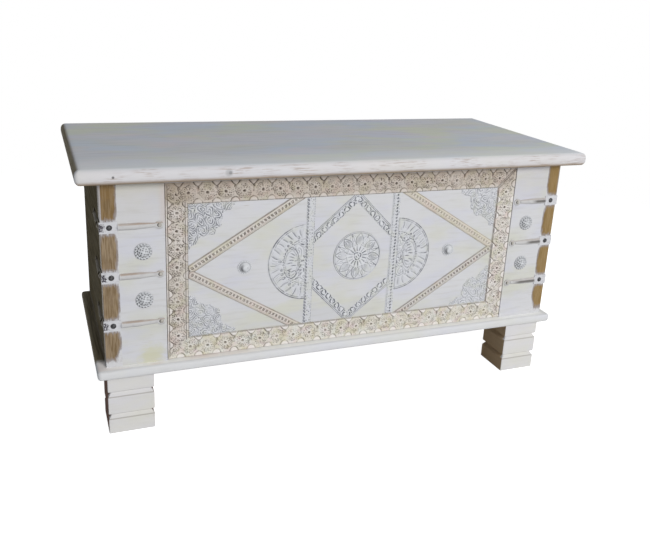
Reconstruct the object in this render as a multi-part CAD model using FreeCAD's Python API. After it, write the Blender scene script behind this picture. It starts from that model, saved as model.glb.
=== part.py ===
import FreeCAD, Part

import math
import os

from FreeCAD import Placement, Rotation, Vector

os.makedirs("parts", exist_ok=True)

# A carved and whitewashed wooden trunk on four feet, with a hinged lid.
# Lengths are in millimetres and angles in degrees.
# The origin is on the floor under the middle of the lid: X to the right, Y to the back, Z up.

# Case
case_length = 832.0
case_depth = 332.0
case_height = 304.0
front_thickness = 24.0
side_thickness = 22.0
back_thickness = 22.0
floor_thickness = 12.0

# Lid
lid_side_overhang = 34.0
lid_front_overhang = 30.0
lid_back_overhang = 38.0
lid_thickness = 24.0
lid_board_shares = (0.36, 0.33, 0.31)
batten_width = 60.0
batten_thickness = 18.0
batten_end_gap = 12.0
batten_reach_share = 0.6

# Base
foot_height = 106.0
foot_width = 74.0
foot_front_setback = 1.5
foot_top_block = 30.0
foot_middle_block = 30.0
foot_groove_width = 10.0
foot_groove_depth = 5.0
foot_groove_upper_flank = 3.0
plinth_thickness = 16.0
plinth_overhang = 15.0
rail_width = 75.0

# Carved front
stile_width = 96.0
ground_sink = 4.0
top_lip_height = 6.0
tongue_length = 6.0
tongue_thickness = 8.0
border_width = 36.0
carving_depth = 1.5
edge_ridge_width = 2.6

# Rosettes along the border
rosette_pitch = 29.85
rosette_radius = 14.0
rosette_notch_radius = 12.2
rosette_eye_radius = 1.6
rosette_lobes = 8
left_border_slip = 4.5

# Large diamond
diamond_vertex_inset = 3.6
diamond_meeting_gap = 16.5
diamond_band_width = 15.0
diamond_bead_pitch = 6.7
diamond_bead_radius = 2.2

# Upright strips
upright_reach = 79.0
upright_width = 15.0
upright_bead_pitch = 5.8
upright_bead_radius = 1.9

# Chain strips of the small diamond
chain_apex_inset = 6.0
chain_apex_shifts = {"upper": 5.9, "lower": -3.7}
chain_end_rises = {"upper_left": 39.7, "upper_right": 40.7, "lower_left": 36.0, "lower_right": 46.6}
chain_strip_width = 16.0
chain_row_inset = 5.5
chain_link_pitch = 12.8
chain_first_link = 2.4
chain_link_radius = 4.8
chain_link_eye_radius = 2.6
chain_ridge_width = 1.6
chain_ridge_gap = 1.4

# Medallions
medallion_radius = 44.8
medallion_shift = 9.8
medallion_lift = 3.0
medallion_rim_width = 2.4
medallion_petals = 8
medallion_rays = 16
medallion_heart_radius = 4.8
petal_root_radius = 18.0
petal_half_width = 7.0
ray_root_radius = 7.0
ray_half_width = 1.3
petal_gap = 1.0
half_medallion_radius = 68.0
half_medallion_inset = 2.5
half_medallion_rim_width = 3.0
half_medallion_flutes = 18
flute_root_radius = 42.0
flute_half_width = 3.2
almond_reach = 28.0
almond_half_height = 27.0
almond_half_width = 13.5

# Corner spandrels
spandrel_length = 78.0
spandrel_height = 75.0
spandrel_outline_shares = (
    (1.00, 0.00),
    (0.97, 0.09),
    (0.72, 0.22),
    (0.66, 0.50),
    (0.54, 0.68),
    (0.28, 0.73),
    (0.10, 0.94),
    (0.00, 1.00),
)
spandrel_leaf_shares = (
    (0.30, 0.28, 0.17),
    (0.62, 0.14, 0.11),
    (0.14, 0.62, 0.11),
    (0.46, 0.52, 0.11),
    (0.83, 0.07, 0.05),
    (0.07, 0.84, 0.05),
)

# Corner covers and straps
cover_width = 25.0
cover_thickness = 1.0
strap_height_shares = (0.2355, 0.5005, 0.7655)
strap_reach = 87.5
strap_thickness = 1.6
strap_pad_width = 18.0
strap_bar_width = 11.0
strap_bar_tip_width = 7.0
strap_bar_rise = 4.2
strap_bar_tip_rise = 3.0
strap_end_radius = 6.5
corner_nail_inset = 13.0
corner_nail_radius = 4.5
corner_nail_rise = 2.6
end_nail_radius = 3.6
end_nail_rise = 1.8
nail_shank_radius = 1.5
nail_shank_length = 11.0

# Studs
rosette_stud_inset = 62.0
rosette_stud_radius = 14.0
rosette_stud_base = 1.5
rosette_stud_dome_radius = 9.2
rosette_stud_rise = 4.4
rosette_stud_beads = 13
rosette_stud_bead_radius = 1.7
rosette_stud_bead_rise = 1.0
rosette_stud_drop = 1.5
domed_stud_place_share = 0.299
domed_stud_radius = 12.0
domed_stud_base = 1.2
domed_stud_dome_radius = 9.0
domed_stud_rise = 7.0
stud_shank_radius = 3.0
stud_shank_length = 12.0

# Hinges
hinge_reach_share = 0.65
hinge_length = 80.0
hinge_axis_offset = 4.0
hinge_leaf_thickness = 2.0
hinge_case_leaf_height = 28.0
hinge_lid_leaf_depth = 20.0
hinge_knuckles = 5
hinge_knuckle_radius = 3.7
hinge_pin_radius = 1.85
hinge_pin_clearance = 0.05
hinge_pin_head_radius = 2.8
hinge_pin_head_rise = 1.2
knuckle_gap = 0.3
hinge_screw_spacing = 28.0
hinge_screw_head_radius = 3.0
hinge_screw_shank_radius = 1.5
hinge_screw_length = 14.0

# Other fasteners
batten_screw_head_radius = 4.5
batten_screw_shank_radius = 2.2
batten_screw_length = 32.0
screw_slot_width = 0.9
screw_slot_depth = 0.8
back_nail_radius = 3.4
back_nail_rise = 1.0
back_nail_length = 42.0
back_nail_height_shares = (0.12, 0.37, 0.63, 0.88)
dowel_radius = 6.0
dowel_foot_depth = 30.0
dowel_rail_depth = 12.0
dowel_offset = 16.0

# Clearances
joint_clearance = 0.1
fastener_clearance = 0.05
cut_overrun = 5.0

# Places worked out from the sizes above
lid_length = case_length + 2 * lid_side_overhang
lid_depth = case_depth + lid_front_overhang + lid_back_overhang
lid_side = lid_length / 2
case_side = case_length / 2
case_front = lid_front_overhang - lid_depth / 2
case_back = case_front + case_depth
case_bottom = foot_height + plinth_thickness
case_top = case_bottom + case_height
inner_side = case_side - side_thickness
inner_front = case_front + front_thickness
inner_back = case_back - back_thickness
ground_y = case_front + ground_sink
field_side = case_side - stile_width
field_length = 2 * field_side
field_top = case_height - top_lip_height
opening_side = field_side - border_width
opening_bottom = border_width
opening_top = field_top - border_width
field_middle = (opening_bottom + opening_top) / 2
carving_floor = ground_sink - carving_depth
upright_inner = upright_reach - upright_width / 2
upright_outer = upright_reach + upright_width / 2
half_medallion_middle = upright_outer - half_medallion_inset
half_medallion_edge = half_medallion_middle + half_medallion_radius
domed_stud_reach = half_medallion_edge + domed_stud_place_share * (opening_side - half_medallion_edge)
rosette_stud_reach = case_side - rosette_stud_inset
opening_rise = opening_top - field_middle
chain_apex_rise = opening_rise - chain_apex_inset
plinth_side = case_side + plinth_overhang
plinth_front = case_front - plinth_overhang
hinge_axis_y = case_back + hinge_axis_offset
hinge_axis_z = case_top - hinge_axis_offset
hinge_reach = case_side * hinge_reach_share
knuckle_pitch = hinge_length / hinge_knuckles

up = Vector(0, 0, 1)
down = Vector(0, 0, -1)
right = Vector(1, 0, 0)
left = Vector(-1, 0, 0)
forward = Vector(0, -1, 0)
backward = Vector(0, 1, 0)


# Shape helpers
def box(x_low, x_high, y_low, y_high, z_low, z_high):
    corner = Vector(x_low, y_low, z_low)
    return Part.makeBox(x_high - x_low, y_high - y_low, z_high - z_low, corner)


def joined(shapes):
    first, *others = shapes
    if not others:
        return first
    return first.multiFuse(others).removeSplitter()


def prism(points, z_low, z_high):
    corners = [Vector(x, y, z_low) for x, y in points]
    outline = Part.makePolygon(corners + corners[:1])
    return Part.Face(outline).extrude(Vector(0, 0, z_high - z_low))


def aimed(shape, point, direction):
    # Turns the shape's own +Z to the direction and moves its zero point to the point.
    moved = shape.copy()
    moved.Placement = Placement(point, Rotation(up, direction)) * shape.Placement
    return moved


def mirrored_x(shape):
    return shape.mirror(Vector(0, 0, 0), right)


def on_front(shape, carrier_y):
    # Stands a flat shape up against the front: its X stays, its Y becomes height above the case's
    # underside, and its Z becomes the distance out from the carrying face.
    moved = shape.copy()
    moved.Placement = Placement(Vector(0, carrier_y, case_bottom), Rotation(right, 90)) * shape.Placement
    return moved


def dome(radius, rise):
    sphere_radius = (radius ** 2 + rise ** 2) / (2 * rise)
    sphere = Part.makeSphere(sphere_radius, Vector(0, 0, rise - sphere_radius))
    keep = box(-radius, radius, -radius, radius, 0, rise)
    return sphere.common(keep)


def domed_nail(head_radius, head_rise, shank_radius, shank_length):
    shank = Part.makeCylinder(shank_radius, shank_length, Vector(0, 0, 0), down)
    return joined([dome(head_radius, head_rise), shank])


def nail_hole(shank_radius, shank_length):
    start = Vector(0, 0, cut_overrun)
    depth = cut_overrun + shank_length + fastener_clearance
    return Part.makeCylinder(shank_radius + fastener_clearance, depth, start, down)


def screw_body(head_radius, shank_radius, length, growth):
    # A countersunk head whose face lies at zero, with its shank along +Z.
    head_depth = head_radius - shank_radius
    head = Part.makeCone(head_radius + growth, shank_radius + growth, head_depth)
    shank = Part.makeCylinder(shank_radius + growth, length + growth)
    return joined([head, shank])


def screw(head_radius, shank_radius, length):
    slot = box(-head_radius, head_radius, -screw_slot_width / 2, screw_slot_width / 2, 0, screw_slot_depth)
    return screw_body(head_radius, shank_radius, length, 0).cut(slot)


def screw_hole(head_radius, shank_radius, length):
    mouth = Part.makeCylinder(head_radius + fastener_clearance, cut_overrun, Vector(0, 0, 0), down)
    return joined([mouth, screw_body(head_radius, shank_radius, length, fastener_clearance)])


def save(name, shape):
    if not shape.isValid():
        raise ValueError("invalid shape: " + name)
    shape.exportStep("parts/" + name + ".step")
    print(name, "solids", len(shape.Solids), "volume", round(shape.Volume))


def save_group(name, solids):
    save(name, Part.makeCompound(solids))


# Slabs with a half-round edge
def half_round_profile(low, high, z_low, thickness, round_high):
    radius = thickness / 2
    z_middle = z_low + radius
    z_high = z_low + thickness
    flat_low = low + radius
    flat_high = high - radius if round_high else high
    edges = [
        Part.makeLine(Vector(flat_low, z_low, 0), Vector(flat_high, z_low, 0)),
        Part.makeLine(Vector(flat_high, z_high, 0), Vector(flat_low, z_high, 0)),
        Part.Arc(Vector(flat_low, z_high, 0), Vector(low, z_middle, 0), Vector(flat_low, z_low, 0)).toShape(),
    ]
    if round_high:
        arc = Part.Arc(Vector(flat_high, z_low, 0), Vector(high, z_middle, 0), Vector(flat_high, z_high, 0))
        edges.append(arc.toShape())
    else:
        edges.append(Part.makeLine(Vector(high, z_low, 0), Vector(high, z_high, 0)))
    return Part.Face(Part.Wire(Part.__sortEdges__(edges)))


def half_round_slab(half_length, y_low, y_high, z_low, thickness, round_back):
    # Two crossing bars, each with rounded edges, leave a slab whose rounds meet in sharp mitres.
    depth_profile = half_round_profile(y_low, y_high, z_low, thickness, round_back)
    depth_profile.Placement = Placement(Vector(-half_length, 0, 0), Rotation(Vector(1, 1, 1), 120))
    along_x = depth_profile.extrude(Vector(2 * half_length, 0, 0))
    length_profile = half_round_profile(-half_length, half_length, z_low, thickness, True)
    length_profile.Placement = Placement(Vector(0, y_high, 0), Rotation(right, 90))
    along_y = length_profile.extrude(Vector(0, y_low - y_high, 0))
    return along_x.common(along_y)


# Lid boards and battens
def lid_seams():
    seams = [-lid_depth / 2]
    for share in lid_board_shares:
        seams.append(seams[-1] + share * lid_depth)
    return seams


def batten_centres():
    reach = inner_side * batten_reach_share
    return (-reach, reach)


def batten_screw_points():
    seams = lid_seams()
    y_low = inner_front + batten_end_gap
    y_high = inner_back - batten_end_gap
    points = []
    for x in batten_centres():
        for board_low, board_high in zip(seams, seams[1:]):
            held_low = max(board_low, y_low)
            held_high = min(board_high, y_high)
            points.append(Vector(x, (held_low + held_high) / 2, case_top - batten_thickness))
    return points


def batten_screw_holes():
    hole = screw_hole(batten_screw_head_radius, batten_screw_shank_radius, batten_screw_length)
    return [aimed(hole, point, up) for point in batten_screw_points()]


def hinge_lid_screw_points():
    y = hinge_axis_y + hinge_lid_leaf_depth / 2
    z = case_top - hinge_leaf_thickness
    spread = (-hinge_screw_spacing, 0, hinge_screw_spacing)
    return [Vector(side * hinge_reach + step, y, z) for side in (-1, 1) for step in spread]


def hinge_case_screw_points():
    y = case_back + hinge_leaf_thickness
    z = hinge_axis_z - hinge_case_leaf_height / 2
    spread = (-hinge_screw_spacing, 0, hinge_screw_spacing)
    return [Vector(side * hinge_reach + step, y, z) for side in (-1, 1) for step in spread]


def hinge_screw_holes(points, direction):
    hole = screw_hole(hinge_screw_head_radius, hinge_screw_shank_radius, hinge_screw_length)
    return [aimed(hole, point, direction) for point in points]


def build_lid():
    slab = half_round_slab(lid_side, -lid_depth / 2, lid_depth / 2, case_top, lid_thickness, True)
    holes = batten_screw_holes() + hinge_screw_holes(hinge_lid_screw_points(), up)
    seams = lid_seams()
    names = ("lid_board_front", "lid_board_middle", "lid_board_rear")
    for name, y_low, y_high in zip(names, seams, seams[1:]):
        keep = box(-lid_side, lid_side, y_low, y_high, case_top, case_top + lid_thickness)
        save(name, slab.common(keep).cut(holes))


def build_battens():
    y_low = inner_front + batten_end_gap
    y_high = inner_back - batten_end_gap
    z_low = case_top - batten_thickness
    for name, x in zip(("lid_batten_left", "lid_batten_right"), batten_centres()):
        batten = box(x - batten_width / 2, x + batten_width / 2, y_low, y_high, z_low, case_top)
        save(name, batten.cut(batten_screw_holes()))
    one_screw = screw(batten_screw_head_radius, batten_screw_shank_radius, batten_screw_length)
    save_group("lid_batten_screws", [aimed(one_screw, point, up) for point in batten_screw_points()])


# Hinges
def knuckle_rods(centre_x, odd, radius, growth):
    rods = []
    for number in range(hinge_knuckles):
        if (number % 2 == 1) != odd:
            continue
        start = centre_x - hinge_length / 2 + number * knuckle_pitch + knuckle_gap / 2 - growth
        length = knuckle_pitch - knuckle_gap + 2 * growth
        point = Vector(start, hinge_axis_y, hinge_axis_z)
        rods.append(Part.makeCylinder(radius + growth, length, point, right))
    return rods


def pin_bore(centre_x):
    start = Vector(centre_x - hinge_length / 2 - cut_overrun, hinge_axis_y, hinge_axis_z)
    radius = hinge_pin_radius + hinge_pin_clearance
    return Part.makeCylinder(radius, hinge_length + 2 * cut_overrun, start, right)


def hinge_case_leaf(centre_x):
    x_low = centre_x - hinge_length / 2
    x_high = centre_x + hinge_length / 2
    y_high = case_back + hinge_leaf_thickness
    plate = box(x_low, x_high, case_back, y_high, hinge_axis_z - hinge_case_leaf_height, hinge_axis_z)
    plate = plate.cut(knuckle_rods(centre_x, True, hinge_knuckle_radius, knuckle_gap))
    leaf = joined([plate] + knuckle_rods(centre_x, False, hinge_knuckle_radius, 0))
    return leaf.cut([pin_bore(centre_x)] + hinge_screw_holes(hinge_case_screw_points(), forward))


def hinge_lid_leaf(centre_x):
    x_low = centre_x - hinge_length / 2
    x_high = centre_x + hinge_length / 2
    y_high = hinge_axis_y + hinge_lid_leaf_depth
    plate = box(x_low, x_high, hinge_axis_y, y_high, case_top - hinge_leaf_thickness, case_top)
    plate = plate.cut(knuckle_rods(centre_x, False, hinge_knuckle_radius, knuckle_gap))
    leaf = joined([plate] + knuckle_rods(centre_x, True, hinge_knuckle_radius, 0))
    return leaf.cut([pin_bore(centre_x)] + hinge_screw_holes(hinge_lid_screw_points(), up))


def hinge_pin(centre_x):
    start = Vector(centre_x - hinge_length / 2, hinge_axis_y, hinge_axis_z)
    end = Vector(centre_x + hinge_length / 2, hinge_axis_y, hinge_axis_z)
    rod = Part.makeCylinder(hinge_pin_radius, hinge_length, start, right)
    head = dome(hinge_pin_head_radius, hinge_pin_head_rise)
    return joined([rod, aimed(head, start, left), aimed(head, end, right)])


def build_hinges():
    for side_name, side in (("left", -1), ("right", 1)):
        save("hinge_case_leaf_" + side_name, hinge_case_leaf(side * hinge_reach))
        save("hinge_lid_leaf_" + side_name, hinge_lid_leaf(side * hinge_reach))
    save_group("hinge_pins", [hinge_pin(side * hinge_reach) for side in (-1, 1)])
    one_screw = screw(hinge_screw_head_radius, hinge_screw_shank_radius, hinge_screw_length)
    lid_screws = [aimed(one_screw, point, up) for point in hinge_lid_screw_points()]
    case_screws = [aimed(one_screw, point, forward) for point in hinge_case_screw_points()]
    save_group("hinge_lid_screws", lid_screws)
    save_group("hinge_case_screws", case_screws)


# Places of the straps, nails and studs
def strap_heights():
    return [case_bottom + share * case_height for share in strap_height_shares]


def corner_nail_places(side):
    # Each place is a point on the strap's outer face and the way the nail's head faces.
    front_y = case_front - strap_thickness
    side_x = side * (case_side + strap_thickness)
    outward = right if side > 0 else left
    places = []
    for z in strap_heights():
        places.append((Vector(side * (case_side - corner_nail_inset), front_y, z), forward))
        places.append((Vector(side_x, case_front + corner_nail_inset, z), outward))
    return places


def end_nail_places(side):
    front_y = case_front - strap_thickness
    side_x = side * (case_side + strap_thickness)
    outward = right if side > 0 else left
    places = []
    for z in strap_heights():
        places.append((Vector(side * (case_side - strap_reach), front_y, z), forward))
        places.append((Vector(side_x, case_front + strap_reach, z), outward))
    return places


def rosette_stud_points():
    heights = strap_heights()
    points = []
    for side in (-1, 1):
        for z_low, z_high in zip(heights, heights[1:]):
            z = (z_low + z_high) / 2 - rosette_stud_drop
            points.append(Vector(side * rosette_stud_reach, case_front, z))
    return points


def domed_stud_points():
    z = case_bottom + field_middle
    return [Vector(side * domed_stud_reach, ground_y, z) for side in (-1, 1)]


def nail_holes(side):
    hole = nail_hole(nail_shank_radius, nail_shank_length)
    places = corner_nail_places(side) + end_nail_places(side)
    return [aimed(hole, point, direction) for point, direction in places]


def stud_holes(points):
    hole = nail_hole(stud_shank_radius, stud_shank_length)
    return [aimed(hole, point, forward) for point in points]


def back_nail_points():
    x = case_side - side_thickness / 2
    heights = [case_bottom + share * case_height for share in back_nail_height_shares]
    return [Vector(side * x, case_back, z) for side in (-1, 1) for z in heights]


def back_nail_holes():
    hole = nail_hole(nail_shank_radius, back_nail_length)
    return [aimed(hole, point, backward) for point in back_nail_points()]


# Case boards
def corner_cover(side):
    x_outer = side * case_side
    x_inner = side * (case_side - cover_width)
    x_skin = side * (case_side - cover_thickness)
    front_leg = box(min(x_outer, x_inner), max(x_outer, x_inner),
                    case_front, case_front + cover_thickness, case_bottom, case_top)
    side_leg = box(min(x_outer, x_skin), max(x_outer, x_skin), case_front, inner_front, case_bottom, case_top)
    return joined([front_leg, side_leg])


def tongue(growth):
    y_middle = (ground_y + inner_front) / 2
    reach = field_side + tongue_length + growth
    half = tongue_thickness / 2 + growth
    return box(-reach, reach, y_middle - half, y_middle + half, case_bottom, case_top)


def front_stile(side):
    x_outer = side * case_side
    x_inner = side * field_side
    board = box(min(x_outer, x_inner), max(x_outer, x_inner), case_front, inner_front, case_bottom, case_top)
    board = board.cut([corner_cover(side), tongue(joint_clearance)])
    return board.cut(nail_holes(side) + stud_holes(rosette_stud_points()))


def front_field_board():
    ground = box(-field_side, field_side, ground_y, inner_front, case_bottom, case_top)
    lip = box(-field_side, field_side, case_front, ground_y, case_bottom + field_top, case_top)
    board = joined([ground, lip, tongue(0)])
    return board.cut(stud_holes(domed_stud_points()))


def side_panel(side):
    x_outer = side * case_side
    x_inner = side * inner_side
    board = box(min(x_outer, x_inner), max(x_outer, x_inner), inner_front, inner_back, case_bottom, case_top)
    return board.cut(nail_holes(side) + back_nail_holes())


def back_panel():
    board = box(-case_side, case_side, inner_back, case_back, case_bottom, case_top)
    return board.cut(back_nail_holes() + hinge_screw_holes(hinge_case_screw_points(), forward))


def build_case():
    save("front_field_board", front_field_board())
    for side_name, side in (("left", -1), ("right", 1)):
        save("front_stile_" + side_name, front_stile(side))
        save("side_panel_" + side_name, side_panel(side))
        save("corner_cover_" + side_name, corner_cover(side).cut(nail_holes(side)))
    save("back_panel", back_panel())
    floor = box(-inner_side, inner_side, inner_front, inner_back, case_bottom, case_bottom + floor_thickness)
    save("floor_board", floor)
    nail = domed_nail(back_nail_radius, back_nail_rise, nail_shank_radius, back_nail_length)
    save_group("back_nails", [aimed(nail, point, backward) for point in back_nail_points()])


# Base rails, feet and dowels
def rail_corners():
    inner_x = case_side - rail_width
    inner_y_front = case_front + rail_width
    inner_y_back = case_back - rail_width
    outer = [(-plinth_side, plinth_front), (plinth_side, plinth_front),
             (plinth_side, case_back), (-plinth_side, case_back)]
    inner = [(-inner_x, inner_y_front), (inner_x, inner_y_front),
             (inner_x, inner_y_back), (-inner_x, inner_y_back)]
    return outer, inner


def foot_centres():
    x = case_side - foot_width / 2
    y_front = case_front + foot_front_setback + foot_width / 2
    y_back = case_back - foot_width / 2
    return {
        "foot_front_left": (-x, y_front),
        "foot_front_right": (x, y_front),
        "foot_back_left": (-x, y_back),
        "foot_back_right": (x, y_back),
    }


def dowel_points():
    # Two dowels in each foot, one on each side of the mitre above it.
    points = []
    for x, y in foot_centres().values():
        lean = 1 if x * y > 0 else -1
        for step in (-dowel_offset, dowel_offset):
            points.append(Vector(x + step, y - lean * step, foot_height - dowel_foot_depth))
    return points


def dowels(growth):
    radius = dowel_radius + growth
    length = dowel_foot_depth + dowel_rail_depth
    lift = Vector(0, 0, growth)
    return [Part.makeCylinder(radius, length + 2 * growth, point - lift) for point in dowel_points()]


def foot(x, y):
    # A square block with two V grooves running all round it, as rings of a ruled loft.
    full = foot_width / 2
    narrow = full - foot_groove_depth
    upper_groove = foot_height - foot_top_block
    lower_groove = upper_groove - foot_groove_width - foot_middle_block
    rings = [(foot_height, full)]
    for groove_top in (upper_groove, lower_groove):
        rings.append((groove_top, full))
        rings.append((groove_top - foot_groove_upper_flank, narrow))
        rings.append((groove_top - foot_groove_width, full))
    rings.append((0, full))
    wires = []
    for z, half in rings:
        corners = [Vector(x - half, y - half, z), Vector(x + half, y - half, z),
                   Vector(x + half, y + half, z), Vector(x - half, y + half, z)]
        wires.append(Part.makePolygon(corners + corners[:1]))
    return Part.makeLoft(wires, True, True)


def build_base():
    slab = half_round_slab(plinth_side, plinth_front, case_back, foot_height, plinth_thickness, False)
    outer, inner = rail_corners()
    names = ("base_rail_front", "base_rail_right", "base_rail_back", "base_rail_left")
    holes = dowels(fastener_clearance)
    for number, name in enumerate(names):
        following = (number + 1) % len(names)
        outline = [outer[number], outer[following], inner[following], inner[number]]
        rail = slab.common(prism(outline, foot_height, foot_height + plinth_thickness))
        save(name, rail.cut(holes))
    for name, (x, y) in foot_centres().items():
        save(name, foot(x, y).cut(holes))
    save_group("foot_dowels", dowels(0))


# Flat carved pieces, drawn with X along the front, Y up from the case's underside and Z outwards
def lobed_disc(radius, notch_radius, lobes, z_low, z_high):
    # A round flower whose lobes are arcs that meet in notches.
    edges = []
    turn = 2 * math.pi / lobes
    for number in range(lobes):
        start = number * turn
        points = []
        for angle, reach in ((start, notch_radius), (start + turn / 2, radius), (start + turn, notch_radius)):
            points.append(Vector(reach * math.cos(angle), reach * math.sin(angle), z_low))
        edges.append(Part.Arc(*points).toShape())
    return Part.Face(Part.Wire(edges)).extrude(Vector(0, 0, z_high - z_low))


def petal(root_radius, tip_radius, half_width, angle, z_low, z_high):
    # A pointed leaf between two arcs, lying along the given angle.
    middle = (root_radius + tip_radius) / 2
    root = Vector(root_radius, 0, z_low)
    tip = Vector(tip_radius, 0, z_low)
    lower = Part.Arc(root, Vector(middle, -half_width, z_low), tip).toShape()
    upper = Part.Arc(tip, Vector(middle, half_width, z_low), root).toShape()
    leaf = Part.Face(Part.Wire([lower, upper])).extrude(Vector(0, 0, z_high - z_low))
    leaf.rotate(Vector(0, 0, 0), up, angle)
    return leaf


def ring(outer_radius, inner_radius, z_low, z_high):
    centre = Vector(0, 0, z_low)
    outer = Part.makeCylinder(outer_radius, z_high - z_low, centre)
    return outer.cut(Part.makeCylinder(inner_radius, z_high - z_low, centre))


def rosette():
    flower = lobed_disc(rosette_radius, rosette_notch_radius, rosette_lobes, carving_floor, ground_sink)
    eye = Part.makeCylinder(rosette_eye_radius, carving_depth, Vector(0, 0, carving_floor))
    return flower.cut(eye)


def row_places(length, pitch):
    # Evenly pitched places on both sides of the middle, as many as have their centre on the length.
    count = int(length / pitch / 2 + 0.5)
    return [(number + 0.5) * pitch for number in range(-count, count)]


def border_strip(run, slip):
    # One mitred border strip along X with its outer edge at Y zero and its body towards -Y.
    mitre = [(-run / 2, 0), (run / 2, 0), (run / 2 - border_width, -border_width),
             (border_width - run / 2, -border_width)]
    strip = prism(mitre, 0, ground_sink)
    channel = box(-run / 2, run / 2, edge_ridge_width - border_width, -edge_ridge_width,
                  carving_floor, ground_sink)
    flowers = []
    for place in row_places(run, rosette_pitch):
        flower = rosette()
        flower.translate(Vector(place + slip, -border_width / 2, 0))
        flowers.append(flower)
    flowers = [flower.common(strip) for flower in flowers]
    flowers = [flower for flower in flowers if flower.Volume > 0]
    return joined([strip.cut(channel)] + flowers)


def build_border():
    middle_height = field_top / 2
    top = border_strip(field_length, 0)
    top.translate(Vector(0, field_top, 0))
    bottom = top.mirror(Vector(0, middle_height, 0), Vector(0, 1, 0))
    right_strip = border_strip(field_top, 0)
    right_strip.rotate(Vector(0, 0, 0), up, -90)
    right_strip.translate(Vector(field_side, middle_height, 0))
    left_strip = border_strip(field_top, -left_border_slip)
    left_strip.rotate(Vector(0, 0, 0), up, 90)
    left_strip.translate(Vector(-field_side, middle_height, 0))
    strips = {"border_top": top, "border_bottom": bottom, "border_left": left_strip, "border_right": right_strip}
    for name, strip in strips.items():
        save(name, on_front(strip, ground_y))


def beaded_band(length, width, bead_radius, bead_pitch):
    # A flat band along X from zero, with a raised ridge at each edge and a row of beads between.
    half = width / 2
    band = box(0, length, -half, half, 0, ground_sink)
    channel = box(0, length, edge_ridge_width - half, half - edge_ridge_width, carving_floor, ground_sink)
    beads = []
    for number in range(int(length / bead_pitch)):
        centre = Vector((number + 0.5) * bead_pitch, 0, carving_floor)
        beads.append(Part.makeCylinder(bead_radius, carving_depth, centre))
    return joined([band.cut(channel)] + beads)


def in_four_corners(upper_right):
    upper_left = mirrored_x(upper_right)
    level = Vector(0, field_middle, 0)
    return {
        "upper_left": upper_left,
        "upper_right": upper_right,
        "lower_left": upper_left.mirror(level, Vector(0, 1, 0)),
        "lower_right": upper_right.mirror(level, Vector(0, 1, 0)),
    }


def build_diamond_bands():
    vertex = opening_side + diamond_vertex_inset
    run = vertex - upright_outer - diamond_meeting_gap
    slope = math.degrees(math.atan2(opening_rise, run))
    reach = math.hypot(opening_rise, run) + diamond_band_width
    band = beaded_band(reach, diamond_band_width, diamond_bead_radius, diamond_bead_pitch)
    band.rotate(Vector(0, 0, 0), up, 180 - slope)
    band.translate(Vector(vertex, field_middle, 0))
    keep = box(0, opening_side, field_middle, opening_top, 0, ground_sink)
    for corner_name, piece in in_four_corners(band.common(keep)).items():
        save("diamond_band_" + corner_name, on_front(piece, ground_y))


def build_upright_strips():
    height = opening_top - opening_bottom
    strip = beaded_band(height, upright_width, upright_bead_radius, upright_bead_pitch)
    strip.rotate(Vector(0, 0, 0), up, 90)
    strip.translate(Vector(upright_reach, opening_bottom, 0))
    save("upright_strip_right", on_front(strip, ground_y))
    save("upright_strip_left", on_front(mirrored_x(strip), ground_y))


def chain_strip(apex_reach, end_rise):
    # The upper right side of the small diamond: a row of ring links with ridges along its outer edge.
    slope = math.degrees(math.atan2(chain_apex_rise - end_rise, upright_inner - apex_reach))
    run = math.hypot(chain_apex_rise - end_rise, upright_inner - apex_reach)
    spare = chain_strip_width
    inner_edge = -chain_row_inset
    outer_edge = inner_edge + chain_strip_width
    strip = box(-spare, run + spare, inner_edge, outer_edge, 0, carving_floor)
    details = []
    for number in range(int(run / chain_link_pitch) + 1):
        link = ring(chain_link_radius, chain_link_eye_radius, carving_floor, ground_sink)
        link.translate(Vector(chain_first_link + number * chain_link_pitch, 0, 0))
        details.append(link)
    ridge_high = outer_edge
    while ridge_high - chain_ridge_width > chain_link_radius:
        ridge = box(-spare, run + spare, ridge_high - chain_ridge_width, ridge_high, carving_floor, ground_sink)
        details.append(ridge)
        ridge_high = ridge_high - chain_ridge_width - chain_ridge_gap
    piece = joined([strip] + details)
    piece.rotate(Vector(0, 0, 0), up, -slope)
    piece.translate(Vector(apex_reach, field_middle + chain_apex_rise, 0))
    keep = box(apex_reach, upright_inner, field_middle, opening_top, 0, ground_sink)
    return piece.common(keep)


def build_chain_strips():
    # The diamond was cut by hand: its upper and lower points are not in line, nor are its ends level.
    for height_name, shift in chain_apex_shifts.items():
        for side_name, apex_reach in (("left", -shift), ("right", shift)):
            corner_name = height_name + "_" + side_name
            piece = chain_strip(apex_reach, chain_end_rises[corner_name])
            save("chain_strip_" + corner_name, on_front(in_four_corners(piece)[corner_name], ground_y))


def centre_medallion():
    disc = Part.makeCylinder(medallion_radius, carving_floor)
    rim_inner = medallion_radius - medallion_rim_width
    details = [ring(medallion_radius, rim_inner, carving_floor, ground_sink)]
    for number in range(medallion_petals):
        angle = number * 360 / medallion_petals
        details.append(petal(petal_root_radius, rim_inner - petal_gap, petal_half_width, angle,
                             carving_floor, ground_sink))
    for number in range(medallion_rays):
        angle = (number + 0.5) * 360 / medallion_rays
        details.append(petal(ray_root_radius, petal_root_radius - petal_gap, ray_half_width, angle,
                             carving_floor, ground_sink))
    heart = dome(medallion_heart_radius, carving_depth)
    heart.translate(Vector(0, 0, carving_floor))
    return joined([disc, heart] + details)


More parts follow.
